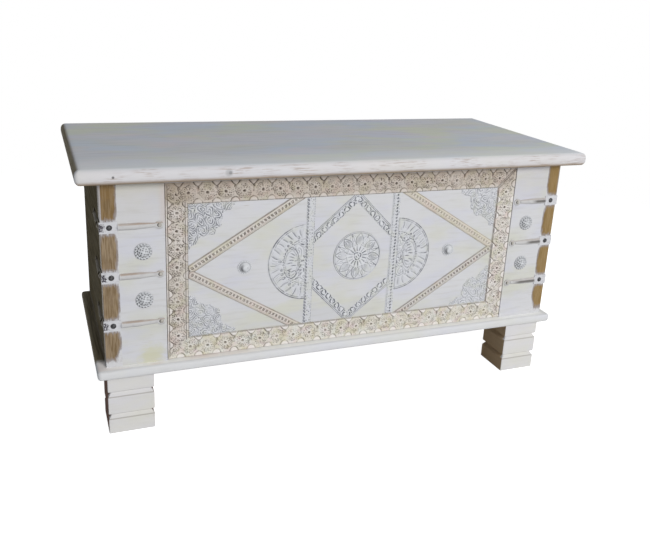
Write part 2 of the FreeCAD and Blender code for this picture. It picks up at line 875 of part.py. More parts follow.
def half_medallion():
    # The right-hand half fan, drawn round the middle of its full circle.
    disc = Part.makeCylinder(half_medallion_radius, carving_floor)
    rim_inner = half_medallion_radius - half_medallion_rim_width
    details = [ring(half_medallion_radius, rim_inner, carving_floor, ground_sink)]
    for number in range(half_medallion_flutes):
        angle = (number + 0.5) * 180 / half_medallion_flutes - 90
        details.append(petal(flute_root_radius, rim_inner - petal_gap, flute_half_width, angle,
                             carving_floor, ground_sink))
    almond = petal(-almond_half_height, almond_half_height, almond_half_width, 90, carving_floor, ground_sink)
    almond.translate(Vector(almond_reach, 0, 0))
    fan = joined([disc, almond] + details)
    keep = box(half_medallion_inset, half_medallion_radius, -half_medallion_radius, half_medallion_radius,
               0, ground_sink)
    return fan.common(keep)


def build_medallions():
    medallion = centre_medallion()
    medallion.translate(Vector(medallion_shift, field_middle + medallion_lift, 0))
    save("centre_medallion", on_front(medallion, ground_y))
    fan = half_medallion()
    fan.translate(Vector(half_medallion_middle, field_middle, 0))
    save("half_medallion_right", on_front(fan, ground_y))
    save("half_medallion_left", on_front(mirrored_x(fan), ground_y))


def spandrel():
    # The upper right corner piece, measured from its square corner along and down the border.
    def at(along_share, down_share):
        x = opening_side - along_share * spandrel_length
        y = opening_top - down_share * spandrel_height
        return (x, y)

    outline = [at(0, 0)] + [at(along, below) for along, below in spandrel_outline_shares]
    plate = prism(outline, 0, carving_floor)
    leaves = []
    for along, below, size in spandrel_leaf_shares:
        x, y = at(along, below)
        radius = size * spandrel_length
        leaf = lobed_disc(radius, radius * rosette_notch_radius / rosette_radius, rosette_lobes,
                          carving_floor, ground_sink)
        leaf.translate(Vector(x, y, 0))
        leaves.append(leaf)
    raised = [leaf.common(prism(outline, 0, ground_sink)) for leaf in leaves]
    return joined([plate] + raised)


def build_spandrels():
    for corner_name, piece in in_four_corners(spandrel()).items():
        save("spandrel_" + corner_name, on_front(piece, ground_y))


# Straps, nails and studs
def bar_section(x, width, rise):
    # A low arch standing on the strap's back plane, square to X.
    start = Vector(x, -width / 2, 0)
    crown = Vector(x, 0, rise)
    end = Vector(x, width / 2, 0)
    return Part.Wire([Part.Arc(start, crown, end).toShape(), Part.makeLine(end, start)])


def strap_leg():
    # One leg along X from the case's corner, lying on Z zero.
    pad_half = strap_pad_width / 2
    pad = box(-strap_thickness, cover_width, -pad_half, pad_half, 0, strap_thickness)
    end = Part.makeCylinder(strap_end_radius, strap_thickness, Vector(strap_reach, 0, 0))
    bar_end = strap_reach - strap_end_radius
    sections = [
        bar_section(cover_width, strap_bar_width, strap_bar_rise),
        bar_section((cover_width + bar_end) / 2, strap_bar_width, strap_bar_rise),
        bar_section(bar_end, strap_bar_tip_width, strap_bar_tip_rise),
    ]
    bar = Part.makeLoft(sections, True, True)
    neck = box(bar_end, strap_reach, -strap_bar_tip_width / 2, strap_bar_tip_width / 2, 0, strap_thickness)
    return joined([pad, bar, neck, end])


def corner_strap(side, z):
    leg = strap_leg()
    front_leg = leg.copy()
    front_leg.Placement = Placement(Vector(-case_side, case_front, z), Rotation(right, 90))
    side_leg = front_leg.mirror(Vector(-case_side, case_front, z), Vector(1, -1, 0))
    strap = joined([front_leg, side_leg])
    if side > 0:
        strap = mirrored_x(strap)
    return strap.cut(nail_holes(side))


def rosette_stud():
    base = Part.makeCylinder(rosette_stud_radius, rosette_stud_base)
    crown = dome(rosette_stud_dome_radius, rosette_stud_rise)
    crown.translate(Vector(0, 0, rosette_stud_base))
    bead_reach = (rosette_stud_radius + rosette_stud_dome_radius) / 2
    beads = []
    for number in range(rosette_stud_beads):
        angle = number * 2 * math.pi / rosette_stud_beads
        centre = Vector(bead_reach * math.cos(angle), bead_reach * math.sin(angle), rosette_stud_base)
        beads.append(Part.makeCylinder(rosette_stud_bead_radius, rosette_stud_bead_rise, centre))
    shank = Part.makeCylinder(stud_shank_radius, stud_shank_length, Vector(0, 0, 0), down)
    return joined([base, crown, shank] + beads)


def domed_stud():
    base = Part.makeCylinder(domed_stud_radius, domed_stud_base)
    crown = dome(domed_stud_dome_radius, domed_stud_rise)
    crown.translate(Vector(0, 0, domed_stud_base))
    shank = Part.makeCylinder(stud_shank_radius, stud_shank_length, Vector(0, 0, 0), down)
    return joined([base, crown, shank])


def build_fittings():
    for side_name, side in (("left", -1), ("right", 1)):
        save_group("corner_straps_" + side_name, [corner_strap(side, z) for z in strap_heights()])
    corner_nail = domed_nail(corner_nail_radius, corner_nail_rise, nail_shank_radius, nail_shank_length)
    end_nail = domed_nail(end_nail_radius, end_nail_rise, nail_shank_radius, nail_shank_length)
    corner_places = corner_nail_places(-1) + corner_nail_places(1)
    end_places = end_nail_places(-1) + end_nail_places(1)
    save_group("strap_corner_nails", [aimed(corner_nail, *place) for place in corner_places])
    save_group("strap_end_nails", [aimed(end_nail, *place) for place in end_places])
    save_group("rosette_studs", [aimed(rosette_stud(), point, forward) for point in rosette_stud_points()])
    save_group("domed_studs", [aimed(domed_stud(), point, forward) for point in domed_stud_points()])


build_lid()
build_battens()
build_hinges()
build_case()
build_base()
build_border()
build_diamond_bands()
build_upright_strips()
build_chain_strips()
build_medallions()
build_spandrels()
build_fittings()
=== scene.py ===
import math
from functools import reduce

import bpy
import numpy as np
from mathutils import Matrix, Vector


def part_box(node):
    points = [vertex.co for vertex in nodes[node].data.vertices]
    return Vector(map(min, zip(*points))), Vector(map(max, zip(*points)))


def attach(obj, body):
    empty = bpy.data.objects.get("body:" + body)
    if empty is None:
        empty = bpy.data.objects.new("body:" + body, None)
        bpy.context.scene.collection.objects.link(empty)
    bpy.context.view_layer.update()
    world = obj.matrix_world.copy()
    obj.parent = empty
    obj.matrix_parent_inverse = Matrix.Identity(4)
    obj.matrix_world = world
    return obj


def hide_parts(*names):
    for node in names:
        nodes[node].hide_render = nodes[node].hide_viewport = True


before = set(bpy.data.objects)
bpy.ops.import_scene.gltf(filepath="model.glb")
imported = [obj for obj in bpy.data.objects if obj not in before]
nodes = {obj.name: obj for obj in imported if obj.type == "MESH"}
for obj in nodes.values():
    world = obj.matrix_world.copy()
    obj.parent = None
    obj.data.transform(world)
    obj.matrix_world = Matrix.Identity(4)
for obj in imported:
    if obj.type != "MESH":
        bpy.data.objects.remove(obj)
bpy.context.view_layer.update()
print("frame loaded,", len(nodes), "nodes")

mm = 0.001


def boxInMm(node):
    # lowest and highest corner of a node, in millimetres
    low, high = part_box(node)
    return np.array(low) / mm, np.array(high) / mm


# Levels that the frame gives; places on the front count from the bottom of the case
fieldLow, fieldHigh = boxInMm("front_field_board")
borderLow, borderHigh = boxInMm("border_top")
uprightLow, uprightHigh = boxInMm("upright_strip_right")
floorLow, floorHigh = boxInMm("floor_board")
caseFront = borderLow[1]
caseBottom = fieldLow[2]
caseTop = fieldHigh[2]
caseSide = boxInMm("back_panel")[1][0]
groundY = borderHigh[1]
fieldSide = borderHigh[0]
fieldTop = borderHigh[2] - caseBottom
fieldMiddle = fieldTop / 2
borderWidth = borderHigh[2] - borderLow[2]
openingSide = fieldSide - borderWidth
openingRise = fieldTop - borderWidth - fieldMiddle


def faceOf(node):
    # middle and size of a node on the front
    low, high = boxInMm(node)
    return ((low[0] + high[0]) / 2, (low[2] + high[2]) / 2 - caseBottom), (high[0] - low[0], high[2] - low[2])


def chart(red, green, blue):
    # a paint chart colour, 0 to 255, as the shader's own value
    def linear(part):
        share = part / 255
        return share / 12.92 if share <= 0.04045 else ((share + 0.055) / 1.055) ** 2.4
    return (linear(red), linear(green), linear(blue), 1)


# Materials as sums of sockets
class Val:
    # one output socket, so that sums of values read as sums
    def __init__(self, paint, socket):
        self.paint = paint
        self.socket = socket

    def __add__(self, other):
        return self.paint.sum("ADD", self, other)

    def __mul__(self, other):
        return self.paint.sum("MULTIPLY", self, other)

    def __sub__(self, other):
        return self.paint.sum("SUBTRACT", self, other)

    def __rsub__(self, other):
        return self.paint.sum("SUBTRACT", other, self)

    __radd__ = __add__
    __rmul__ = __mul__


class Paint:
    # a material, or the world, in the making
    def __init__(self, name, family="materials"):
        self.owner = getattr(bpy.data, family).new(name)
        self.owner.use_nodes = True
        self.tree = self.owner.node_tree
        self.tree.nodes.clear()

    def put(self, kind, settings=None, sockets=None, out=0):
        node = self.tree.nodes.new("ShaderNode" + kind)
        for name, value in (settings or {}).items():
            setattr(node, name, value)
        for name, value in (sockets or {}).items():
            if isinstance(value, Val):
                self.tree.links.new(value.socket, node.inputs[name])
            else:
                node.inputs[name].default_value = value
        return Val(self, node.outputs[out]) if node.outputs else None

    def close(self, shader, kind="Material"):
        self.put("Output" + kind, sockets={"Surface": shader})
        return self.owner

    def sum(self, operation, *values):
        return self.put("Math", {"operation": operation}, dict(enumerate(values)))

    def place(self):
        return self.put("TexCoord", out="Object")

    def axes(self):
        # the three coordinates in millimetres
        split = self.put("SeparateXYZ", sockets={"Vector": self.place()})
        return [Val(self, socket) * (1 / mm) for socket in split.socket.node.outputs]

    def apart(self, x, y, z):
        # distance from a place, all in millimetres
        return self.put("VectorMath", {"operation": "DISTANCE"},
                        {0: self.place(), 1: (x * mm, y * mm, z * mm)}, "Value") * (1 / mm)

    def noise(self, size, detail, seed, rough=0.5):
        # size is the pattern's length along each axis in millimetres
        moved = self.put("Mapping", {"vector_type": "POINT"},
                         {"Vector": self.place(), "Scale": [1 / (length * mm) for length in size],
                          "Location": (seed, seed * 0.7, seed * 1.3)})
        return self.put("TexNoise", {"noise_dimensions": "3D"},
                        {"Vector": moved, "Scale": 1.0, "Detail": detail, "Roughness": rough})

    def fade(self, value, low, high):
        # zero below low, one above high, smooth between
        return self.put("MapRange", {"interpolation_type": "SMOOTHSTEP"},
                        {"Value": value, "From Min": low, "From Max": high})

    def patches(self, size, detail, seed, low, high, rough=0.5):
        return self.fade(self.noise(size, detail, seed, rough), low, high)

    def high(self, *values):
        return reduce(lambda first, second: self.sum("MAXIMUM", first, second), values)

    def low(self, *values):
        return reduce(lambda first, second: self.sum("MINIMUM", first, second), values)

    def away(self, value, centre):
        # how far a coordinate is from a centre
        return self.sum("ABSOLUTE", value - centre)

    def blend(self, share, *colours):
        # a colour of three numbers is one of the paint chart
        first, second = [chart(*colour) if isinstance(colour, tuple) and len(colour) == 3 else colour
                         for colour in colours]
        return self.put("Mix", {"data_type": "RGBA"}, {0: share, 6: first, 7: second}, 2)

    def layers(self, colour, *coats):
        # each coat is a share and a colour laid over what is there
        for share, coat in coats:
            colour = self.blend(share, colour, coat)
        return colour

    def carving(self, name):
        return self.put("Attribute", {"attribute_name": name}, out="Fac")

    def bump(self, height, depth, strength):
        # depth in millimetres
        return self.put("Bump", sockets={"Height": height, "Distance": depth * mm, "Strength": strength})

    def finish(self, colour, rough, gloss, normal, metal=0.0):
        return self.close(self.put("BsdfPrincipled", sockets={
            "Base Color": colour, "Roughness": rough, "Metallic": metal, "Specular IOR Level": gloss,
            "Normal": normal}))


# Whitewash and bare wood on boards
washLook = {
    "white": (207, 207, 209),
    "cream": (202, 202, 184),
    "cool": (197, 198, 216),
    "bare": (160, 146, 128),
    "dust": (184, 182, 178),
    "rough": 0.62,
    "gloss": 0.12,
}
plainLook = {
    "pale": (150, 116, 80),
    "deep": (98, 70, 45),
    "rough": 0.7,
    "gloss": 0.2,
}
thinWashLook = {
    "brown": (120, 110, 88),
    "deep": (88, 79, 60),
    "white": (150, 146, 134),
    "cover": 0.3,
    "rough": 0.75,
    "gloss": 0.0,
}


def along(axis, long, short):
    # pattern lengths that run with the grain along one axis
    size = [short, short, short]
    size[axis] = long
    return size


def plainWoodColour(paint, axis):
    broad = paint.noise(along(axis, 260, 24), 3, 4.1)
    fine = paint.noise(along(axis, 60, 2.2), 2, 8.3)
    return paint.blend(paint.fade(broad * 0.6 + fine * 0.5, 0.35, 0.75), plainLook["pale"], plainLook["deep"])


def washColour(paint, axis, seed, wear, spread=1.0):
    cream = paint.patches(along(axis, 110 * spread, 52 * spread), 3, seed + 1.7, 0.44, 0.7)
    cool = paint.patches(along(axis, 84 * spread, 40 * spread), 3, seed + 5.2, 0.46, 0.7)
    streak = paint.patches(along(axis, 46, 5.5), 3, seed + 9.4, 0.46, 0.78)
    worn = paint.patches(along(axis, 38, 2.6), 4, seed + 3.3, 0.66 - wear * 0.12, 0.78, 0.62)
    patch = paint.patches(along(axis, 90, 26), 2, seed + 6.1, 0.42, 0.62)
    return paint.layers(washLook["white"], (cream * 0.62, washLook["cream"]), (cool * 0.42, washLook["cool"]),
                        (streak * 0.32, washLook["dust"]), (worn * patch * 0.6, washLook["bare"]))


def thinWashColour(paint, axis, seed):
    # brown wood under a thin and streaky wash
    look = thinWashLook
    broad = paint.patches(along(axis, 220, 30), 3, seed + 1.1, 0.4, 0.8)
    grain = paint.patches(along(axis, 60, 2.4), 3, seed + 7.7, 0.35, 0.7)
    film = paint.patches(along(axis, 120, 7), 3, seed + 4.4, 0.42, 0.74)
    brown = paint.blend(grain, look["brown"], look["deep"])
    return paint.blend((film * 0.6 + broad * 0.4) * look["cover"], brown, look["white"])


def finishBoard(paint, colour, axis, seed, rough=washLook["rough"], gloss=washLook["gloss"]):
    # fine ridges of the brush run with the grain
    ridges = paint.noise(along(axis, 55, 1.7), 3, seed + 2.9)
    return paint.finish(colour, rough, gloss, paint.bump(ridges, 0.22, 0.8))


def insideCase(paint):
    # one on faces that look into the trunk
    x, y = paint.axes()[:2]
    acrossX = 1 - paint.fade(paint.away(x, 0), floorHigh[0] + 0.2, floorHigh[0] + 0.4)
    behind = paint.fade(y, floorLow[1] - 0.4, floorLow[1] - 0.2)
    before = 1 - paint.fade(y, floorHigh[1] + 0.2, floorHigh[1] + 0.4)
    return acrossX * behind * before


def dress(material, *names):
    for name in names:
        for slot in nodes[name].material_slots:
            slot.material = material


# Carved relief, as closed plates grown from a grid of heights
def smoothStep(value, low, high):
    share = np.clip((value - low) / (high - low), 0, 1)
    return share * share * (3 - 2 * share)


def window(value, low, high, soft=1.0):
    return smoothStep(value, low, low + soft) * (1 - smoothStep(value, high - soft, high))


def cut(distance, width, depth):
    # a soft groove whose depth fades with the distance
    return -depth * np.exp(-(distance / width) ** 2)


def pit(distance, reach, depth):
    # a small round hollow
    return -depth * (1 - smoothStep(distance, reach * 0.3, reach))


def handCut(run, pitch, dice):
    # equal cells along a run; drawn gives every cell a value of its own
    cell = np.floor(run / pitch).astype(int)
    first = cell.min()
    count = cell.max() - first + 1

    def drawn(low, high):
        return dice.uniform(low, high, count)[cell - first]
    return run - (cell + 0.5) * pitch, drawn


def speckle(u, v, pitch, reach, depth, dice):
    # small pits, one in each cell of a grid but never in its middle
    cells = [np.floor(run / pitch).astype(int) for run in (u, v)]
    i, j = [cell - cell.min() for cell in cells]
    aside, above, deep = [dice.uniform(-0.3, top, (i.max() + 1, j.max() + 1))[i, j] for top in (0.3, 0.3, 1)]
    distance = np.hypot(u - (cells[0] + 0.5 + aside) * pitch, v - (cells[1] + 0.5 + above) * pitch)
    return pit(distance, reach, depth * np.clip(deep, 0, 1))


def blurred(heights, rounds):
    for _ in range(rounds):
        padded = np.pad(heights, 1, mode="edge")
        heights = (padded[:-2, 1:-1] + padded[2:, 1:-1] + padded[1:-1, :-2] + padded[1:-1, 2:]
                   + 2 * padded[1:-1, 1:-1]) / 6
    return heights


def keptCells(heights, lowest):
    highest = np.maximum(np.maximum(heights[:-1, :-1], heights[1:, :-1]),
                         np.maximum(heights[:-1, 1:], heights[1:, 1:]))
    kept = highest > lowest
    for _ in range(2):
        # cells that touch only at a corner are bridged
        falling = kept[:-1, :-1] & kept[1:, 1:] & ~kept[1:, :-1] & ~kept[:-1, 1:]
        kept[1:, :-1] |= falling
        rising = kept[1:, :-1] & kept[:-1, 1:] & ~kept[:-1, :-1] & ~kept[1:, 1:]
        kept[:-1, :-1] |= rising
    return kept


def outerLoops(quads):
    # directed edges that only one quad uses, chained into loops
    starts = quads.ravel()
    ends = np.roll(quads, -1, axis=1).ravel()
    span = int(quads.max()) + 1
    single = ~np.isin(starts * span + ends, ends * span + starts)
    following = dict(zip(starts[single].tolist(), ends[single].tolist()))
    loops = []
    while following:
        first, point = following.popitem()
        loop = [first]
        while point != first:
            loop.append(point)
            point = following.pop(point)
        loops.append(loop)
    return loops


sharpEdge = math.radians(48)


def newPiece(name, node, points, faces, material, body, smooth=True):
    mesh = bpy.data.meshes.new(name)
    mesh.from_pydata(points, [], faces)
    mesh.validate()
    mesh.materials.append(material)
    piece = bpy.data.objects.new(name, mesh)
    bpy.context.scene.collection.objects.link(piece)
    if smooth:
        mesh.shade_smooth()
        mesh.set_sharp_from_angle(angle=sharpEdge)
    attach(piece, body)
    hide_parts(node)
    return piece


def addCarving(piece, name, values):
    filled = np.zeros(len(piece.data.vertices), np.float32)
    filled[:len(values)] = values
    piece.data.attributes.new(name, "FLOAT", "POINT").data.foreach_set("value", filled)


plateLook = {
    "backDepth": 1.0,
    "lowest": -0.05,
    "edgeSlope": 2.2,
    "edgeLevel": 0.14,
    "dirtAndShadeReach": 1.6,
    "dirtAndShadeFull": 0.6,
    "dirtAndShadeFrom": 0.06,
}


def carvedPlate(name, node, centre, turn, size, shape, material, look):
    # shape gives the height above the ground, the paleness, on raised parts partly a painted highlight,
    # and the distance inside the outline at each grid point, in millimetres; the look's relief flattens the
    # carving, while the dirt and painted shade of the hollows come from the heights before flattening
    plate = plateLook
    step, relief = look["step"], look["relief"]
    us, vs = [np.linspace(-run / 2, run / 2, int(math.ceil(run / step)) + 1) for run in size]
    u, v = np.meshgrid(us, vs, indexing="ij")
    turned = math.radians(turn)
    x = centre[0] + u * math.cos(turned) - v * math.sin(turned)
    z = centre[1] + u * math.sin(turned) + v * math.cos(turned)
    heights, pale, inside = shape(u, v, x, z)
    heights = np.clip(heights, 0.15, None)
    # painted shade and dirt: where the carving lies below its blurred surroundings, and along the outline, it
    # is darkened
    sunk = blurred(heights, max(1, int((plate["dirtAndShadeReach"] / step) ** 2))) - heights
    dirtAndShade = np.clip(sunk - plate["dirtAndShadeFrom"], 0, None) / plate["dirtAndShadeFull"]
    dirtAndShade = np.maximum(dirtAndShade, look["edgeDirtAndShade"] * (1 - smoothStep(inside, 0.2, 1.1)))
    rise = plate["edgeLevel"] + np.clip(inside, 0, None) * plate["edgeSlope"] * relief
    heights = np.where(inside > -0.02, np.minimum(heights * relief, rise), inside - 0.08)
    heights = np.clip(heights, -0.6, groundY - caseFront)
    kept = keptCells(heights, plate["lowest"])
    used = np.zeros(heights.shape, bool)
    for rows in (slice(None, -1), slice(1, None)):
        for columns in (slice(None, -1), slice(1, None)):
            used[rows, columns] |= kept
    index = np.full(heights.shape, -1)
    index[used] = np.arange(used.sum())
    i, j = np.nonzero(kept)
    quads = np.stack([index[i, j], index[i + 1, j], index[i + 1, j + 1], index[i, j + 1]], axis=1)
    top = np.stack([x[used], groundY - heights[used], caseBottom + z[used]], axis=1)
    points = [tuple(point) for point in (top * mm).tolist()]
    faces = quads.tolist()
    backY = (groundY + plate["backDepth"]) * mm
    for loop in outerLoops(quads):
        below = len(points)
        count = len(loop)
        points += [(points[place][0], backY, points[place][2]) for place in loop]
        for number in range(count):
            after = (number + 1) % count
            faces.append([loop[after], loop[number], below + number, below + after])
        faces.append([below + number for number in reversed(range(count))])
    piece = newPiece(name, node, points, faces, material, "case")
    addCarving(piece, "grimeAndShade", np.clip(dirtAndShade[used], 0, 1))
    addCarving(piece, "pale", np.clip(pale[used], 0, 1))


carvedLook = {
    "cream": (214, 208, 200),
    "creamGroove": (80, 71, 64),
    "creamSoft": (214, 209, 198),
    "creamSoftGroove": (104, 98, 88),
    "creamPale": (230, 225, 222),
    "creamTints": ((214, 194, 188), (194, 192, 166), (226, 222, 220)),
    "creamSoftTints": ((220, 200, 204), (198, 192, 158), (218, 220, 216)),
    "white": (205, 206, 210),
    "whiteGroove": (90, 93, 100),
    "whitePale": (222, 223, 226),
    "whiteTint": (202, 203, 194),
    "rough": 0.6,
    "gloss": 0.12,
}


def carvedPaint(name, base, groove, pale, tints, seed, depth, stainAndShade=None):
    # depth sets the dark of dirt and painted shade in the grooves; stainAndShade stains and shades part of
    # the piece
    paint = Paint(name)
    patchy = paint.patches((26, 26, 26), 3, seed, 0.25, 0.6) * 0.45 + 0.55
    # the grimeAndShade attribute paints the hollows dark with dirt and painted shade
    dirtAndShade = paint.low(paint.carving("grimeAndShade") * patchy * depth, 1.0)
    coats = [(paint.patches((17, 17, 17), 2, seed + 6.0 + number * 2.7, 0.46, 0.66) * 0.5, tint)
             for number, tint in enumerate(tints)]
    # the pale coat is partly a pattern and, on raised parts, partly a painted highlight
    coats.append((paint.carving("pale") * 0.85, pale))
    if stainAndShade:
        coats.append(stainAndShade(paint))
    colour = paint.layers(base, *coats, (dirtAndShade, groove))
    fine = paint.noise((1.6, 1.6, 1.6), 2, seed + 1.0)
    return paint.finish(colour, carvedLook["rough"], carvedLook["gloss"], paint.bump(fine, 0.12, 0.6))


def whiteCarving(name, seed, depth):
    look = carvedLook
    return carvedPaint(name, look["white"], look["whiteGroove"], look["whitePale"], [look["whiteTint"]],
                       seed, depth)


# Border of rosettes; in each look, step is the grid's pitch, relief the height of the carving as a share
# and edgeDirtAndShade the darkness of the outline, from dirt and painted shade
borderLook = {
    "pitch": 29.85,
    "petals": 9,
    "wedgeReach": {"left": 8.0, "right": 8.0, "top": 8.8, "bottom": 8.0},
    "wedgeHalf": {"left": 7.4, "right": 7.4, "top": 7.6, "bottom": 7.4},
    "domeHalf": 7.3,
    "speckle": {"left": 2.2, "right": 1.8, "top": 1.3, "bottom": 1.4},
    "fillet": {"left": 3.9, "right": 1.4, "top": 0.0, "bottom": 0.8},
    "leftSlip": -4.5,
    "edgeDirtAndShade": {"left": 0.7, "right": 0.12, "top": 0.6, "bottom": 0.45},
    "bold": {"left": 1.25, "right": 1.9, "top": 1.25, "bottom": 1.0},
    # brown is the colour of the stain and painted shade on the upper row
    "brown": (152, 134, 114),
    "dirtAndShade": 1.0,
    "softDirtAndShade": 0.8,
    "step": 0.8,
    "relief": 1.0,
}


def rosetteField(u, v, slip, name, dice):
    # heights and paleness of a row of rosettes whose seam is at u = slip
    look = borderLook
    fillet, wedgeReach = look["fillet"][name], look["wedgeReach"][name]
    half = borderWidth / 2
    petals = look["petals"]
    plain, drawn = handCut(u - slip, look["pitch"], dice)
    a = plain - drawn(-0.6, 0.6)
    b = v - drawn(-0.7, 0.9)
    angle = np.arctan2(b, a) + drawn(-0.4, 0.4)
    bent = 1 + 0.06 * np.sin(2 * angle + drawn(0, 6)) + 0.03 * np.sin(5 * angle + drawn(0, 6))
    radius = np.hypot(a, b) * bent
    strength = drawn(0.75, 1.25) * (0.8 + 0.3 * np.sin(3 * angle + drawn(0, 6)))
    petal = np.abs(np.mod(angle * petals / (2 * math.pi), 1) - 0.5) * 2
    arc = math.pi / petals * radius
    heights = 3.3 + 0.35 * np.sin(u * 0.9 + 2 * np.sin(v * 0.7)) * np.sin(v * 0.8 + 1.5 * np.sin(u * 0.5))
    heights += cut((1 - petal) * arc, 0.8, 1.5 * strength) * window(radius, 4.8, 10.4)
    heights += pit(np.hypot(petal * arc, radius - 9.4), 1.6, 1.5 * strength)
    rim = radius - 12.3 + 2.2 * petal ** 2
    heights += cut(rim, 0.8, 1.6 * strength * (0.7 + 0.5 * np.sin(angle + drawn(3, 6))))
    heights += speckle(u, v, 3.3, 1.3, look["speckle"][name], dice) * window(radius, 5, 15, 2)
    heights += 0.5 * window(radius, 2.4, 4.8)
    heights += pit(radius, 2.9, 3.6)
    inward = half - v - fillet
    seam = look["pitch"] / 2 - np.abs(plain)
    wedge = look["wedgeHalf"][name] * (1 - inward / wedgeReach) - seam
    wedge += 1.2 * np.sin(math.pi * np.clip(inward / wedgeReach, 0, 1)) * drawn(0, 1)
    dome = look["domeHalf"] - np.hypot(seam, (v + half) * 0.85)
    heights = np.where((wedge > 0) | (dome > 0) | (inward < 0), 3.8, heights)
    # the stroke above each wedge is the bold one, and runs on into the seam
    bold = np.where(plain < 0, 1, 0.6) * look["bold"][name]
    drift = 0.8 * np.sin(v * 0.7)
    heights += cut(wedge, bold, 3.3 * strength) * smoothStep(inward, -0.6, 0.6)
    heights += cut(dome, 0.75, 1.8 * strength)
    heights += pit(np.hypot(seam + drift, (inward - wedgeReach) * 0.6), 2.6, 3.4 * strength)
    heights += cut(seam + drift, 1.0, 2.8 * strength) * window(inward, wedgeReach - 1, wedgeReach + 13, 5)
    pale = np.maximum(smoothStep(wedge, 0.4, 1.4), 0.8 * smoothStep(dome, 0.5, 1.5))
    return heights, np.maximum(pale, 0.4 * window(radius, 2.0, 5.0))


def borderShape(name, run, slip, doubled, plainEnds, seed, flip):
    # plainEnds names the ends, by side, where the carving runs on without a visible mitre
    dice = np.random.default_rng(seed)
    half = borderWidth / 2
    fillet = borderLook["fillet"][name]

    def shape(u, v, x, z):
        heights, pale = rosetteField(u, flip * v, slip, name, dice)
        for line in (1.2, 4.6)[:1 + doubled]:
            heights += cut(v + half - line, 0.5, 1.7)
        # the lid covers the upper edge of the top row, so nothing shades it there
        heights += cut(half - flip * v - fillet, 0.6, 1.8 if doubled else 0.7) * (fillet > 0)
        mitre = (run / 2 - (half - v) - np.abs(u)) / math.sqrt(2)
        hidden = np.isin(np.sign(u), plainEnds)
        heights += np.where(hidden, 0, cut(mitre - 1.4, 1.2, 3.4))
        edge = half - (np.abs(v) if fillet else -v)
        return heights, pale, np.where(hidden, np.where(mitre > -0.9, edge, mitre), np.minimum(mitre, edge))
    return shape


def borderStainAndShade(paint):
    # the upper row is browner, partly a stain and partly painted shade, with painted shadow just under the
    # lid, and the left column a little
    x, _, z = paint.axes()
    openingTop = caseBottom + fieldMiddle + openingRise
    top = paint.fade(z, openingTop - 12, openingTop + 12)
    lid = paint.fade(z, openingTop + 18, caseBottom + fieldTop)
    left = 1 - paint.fade(x, -openingSide - 10, -openingSide + 30)
    low = 1 - paint.fade(z, caseBottom + 30, caseBottom + 120)
    return paint.low(top * 0.42 + lid * 0.12 + left * (0.2 - low * 0.08), 1.0), borderLook["brown"]


def carveBorder():
    look = carvedLook
    paint = carvedPaint("carvedCream", look["cream"], look["creamGroove"], look["creamPale"],
                        look["creamTints"], 2.0, borderLook["dirtAndShade"], borderStainAndShade)
    soft = carvedPaint("carvedCreamLow", look["creamSoft"], look["creamSoftGroove"], look["creamPale"],
                       look["creamSoftTints"], 4.0, borderLook["softDirtAndShade"])
    half = borderWidth / 2
    rows = (
        ("top", (0, fieldTop - half), 0, 2 * fieldSide, 0, False, (-1,), 11, 1),
        ("bottom", (0, half), 180, 2 * fieldSide, 0, False, (-1, 1), 23, -1),
        ("right", (fieldSide - half, fieldMiddle), -90, fieldTop, 0, False, (1,), 37, -1),
        ("left", (half - fieldSide, fieldMiddle), 90, fieldTop, borderLook["leftSlip"], True, (-1, 1), 41, 1),
    )
    for name, centre, turn, run, *rest in rows:
        carvedPlate("carvedBorder." + name, "border_" + name, centre, turn, (run, borderWidth),
                    borderShape(name, run, *rest), soft if name == "bottom" else paint,
                    {**borderLook, "edgeDirtAndShade": borderLook["edgeDirtAndShade"][name]})
    print("border carved")


carveBorder()


# Beaded bands of the large diamond
bandLook = {
    "vertex": 3.6,
    "meeting": 16.5,
    "width": 15.0,
    "pitch": 6.7,
    "overrun": 30.0,
    "step": 0.7,
    "relief": 0.55,
    "edgeDirtAndShade": 0.55,
    "dirtAndShade": {"upper_left": 1.0, "lower_left": 0.85, "upper_right": 0.6, "lower_right": 0.95},
    "tint": {"upper_left": (208, 203, 196), "lower_left": (210, 203, 196),
             "upper_right": (212, 205, 192), "lower_right": (203, 199, 195)},
    "pink": (212, 194, 186),
    "yellow": (198, 194, 168),
}


def fourCorners():
    # number, name, side in X and side in Z of the four quarters
    names = ("upper_left", "upper_right", "lower_left", "lower_right")
    return [(number, name, (-1, 1)[number % 2], (1, -1)[number // 2]) for number, name in enumerate(names)]


def bandShape(upSide, seed):
    dice = np.random.default_rng(seed)
    half = bandLook["width"] / 2

    def shape(u, v, x, z):
        a, drawn = handCut(u, bandLook["pitch"], dice)
        across = np.abs(v)
        heights = 3.2 + cut(across - 6.1, 0.55, 2.2) + cut(v + 4.2, 0.5, 1.0)
        lean = drawn(-0.3, 0.3)
        heights += pit(np.hypot(a + v * lean, v * 0.85), 3.2, 4.4 * drawn(0.45, 1.1))
        bead = np.hypot(bandLook["pitch"] / 2 - np.abs(a), v)
        heights += 0.7 * (1 - smoothStep(bead, 0.8, 2.4))
        heights += cut(bead - 2.9, 0.5, 0.7) * (across < 4)
        up = z - fieldMiddle
        inside = np.minimum.reduce([half - across, openingSide - np.abs(x), up * upSide,
                                    openingRise - np.abs(up)])
        # painted highlight: the beads are paler
        return heights, 0.45 * (1 - smoothStep(bead, 1.0, 2.4)), inside
    return shape


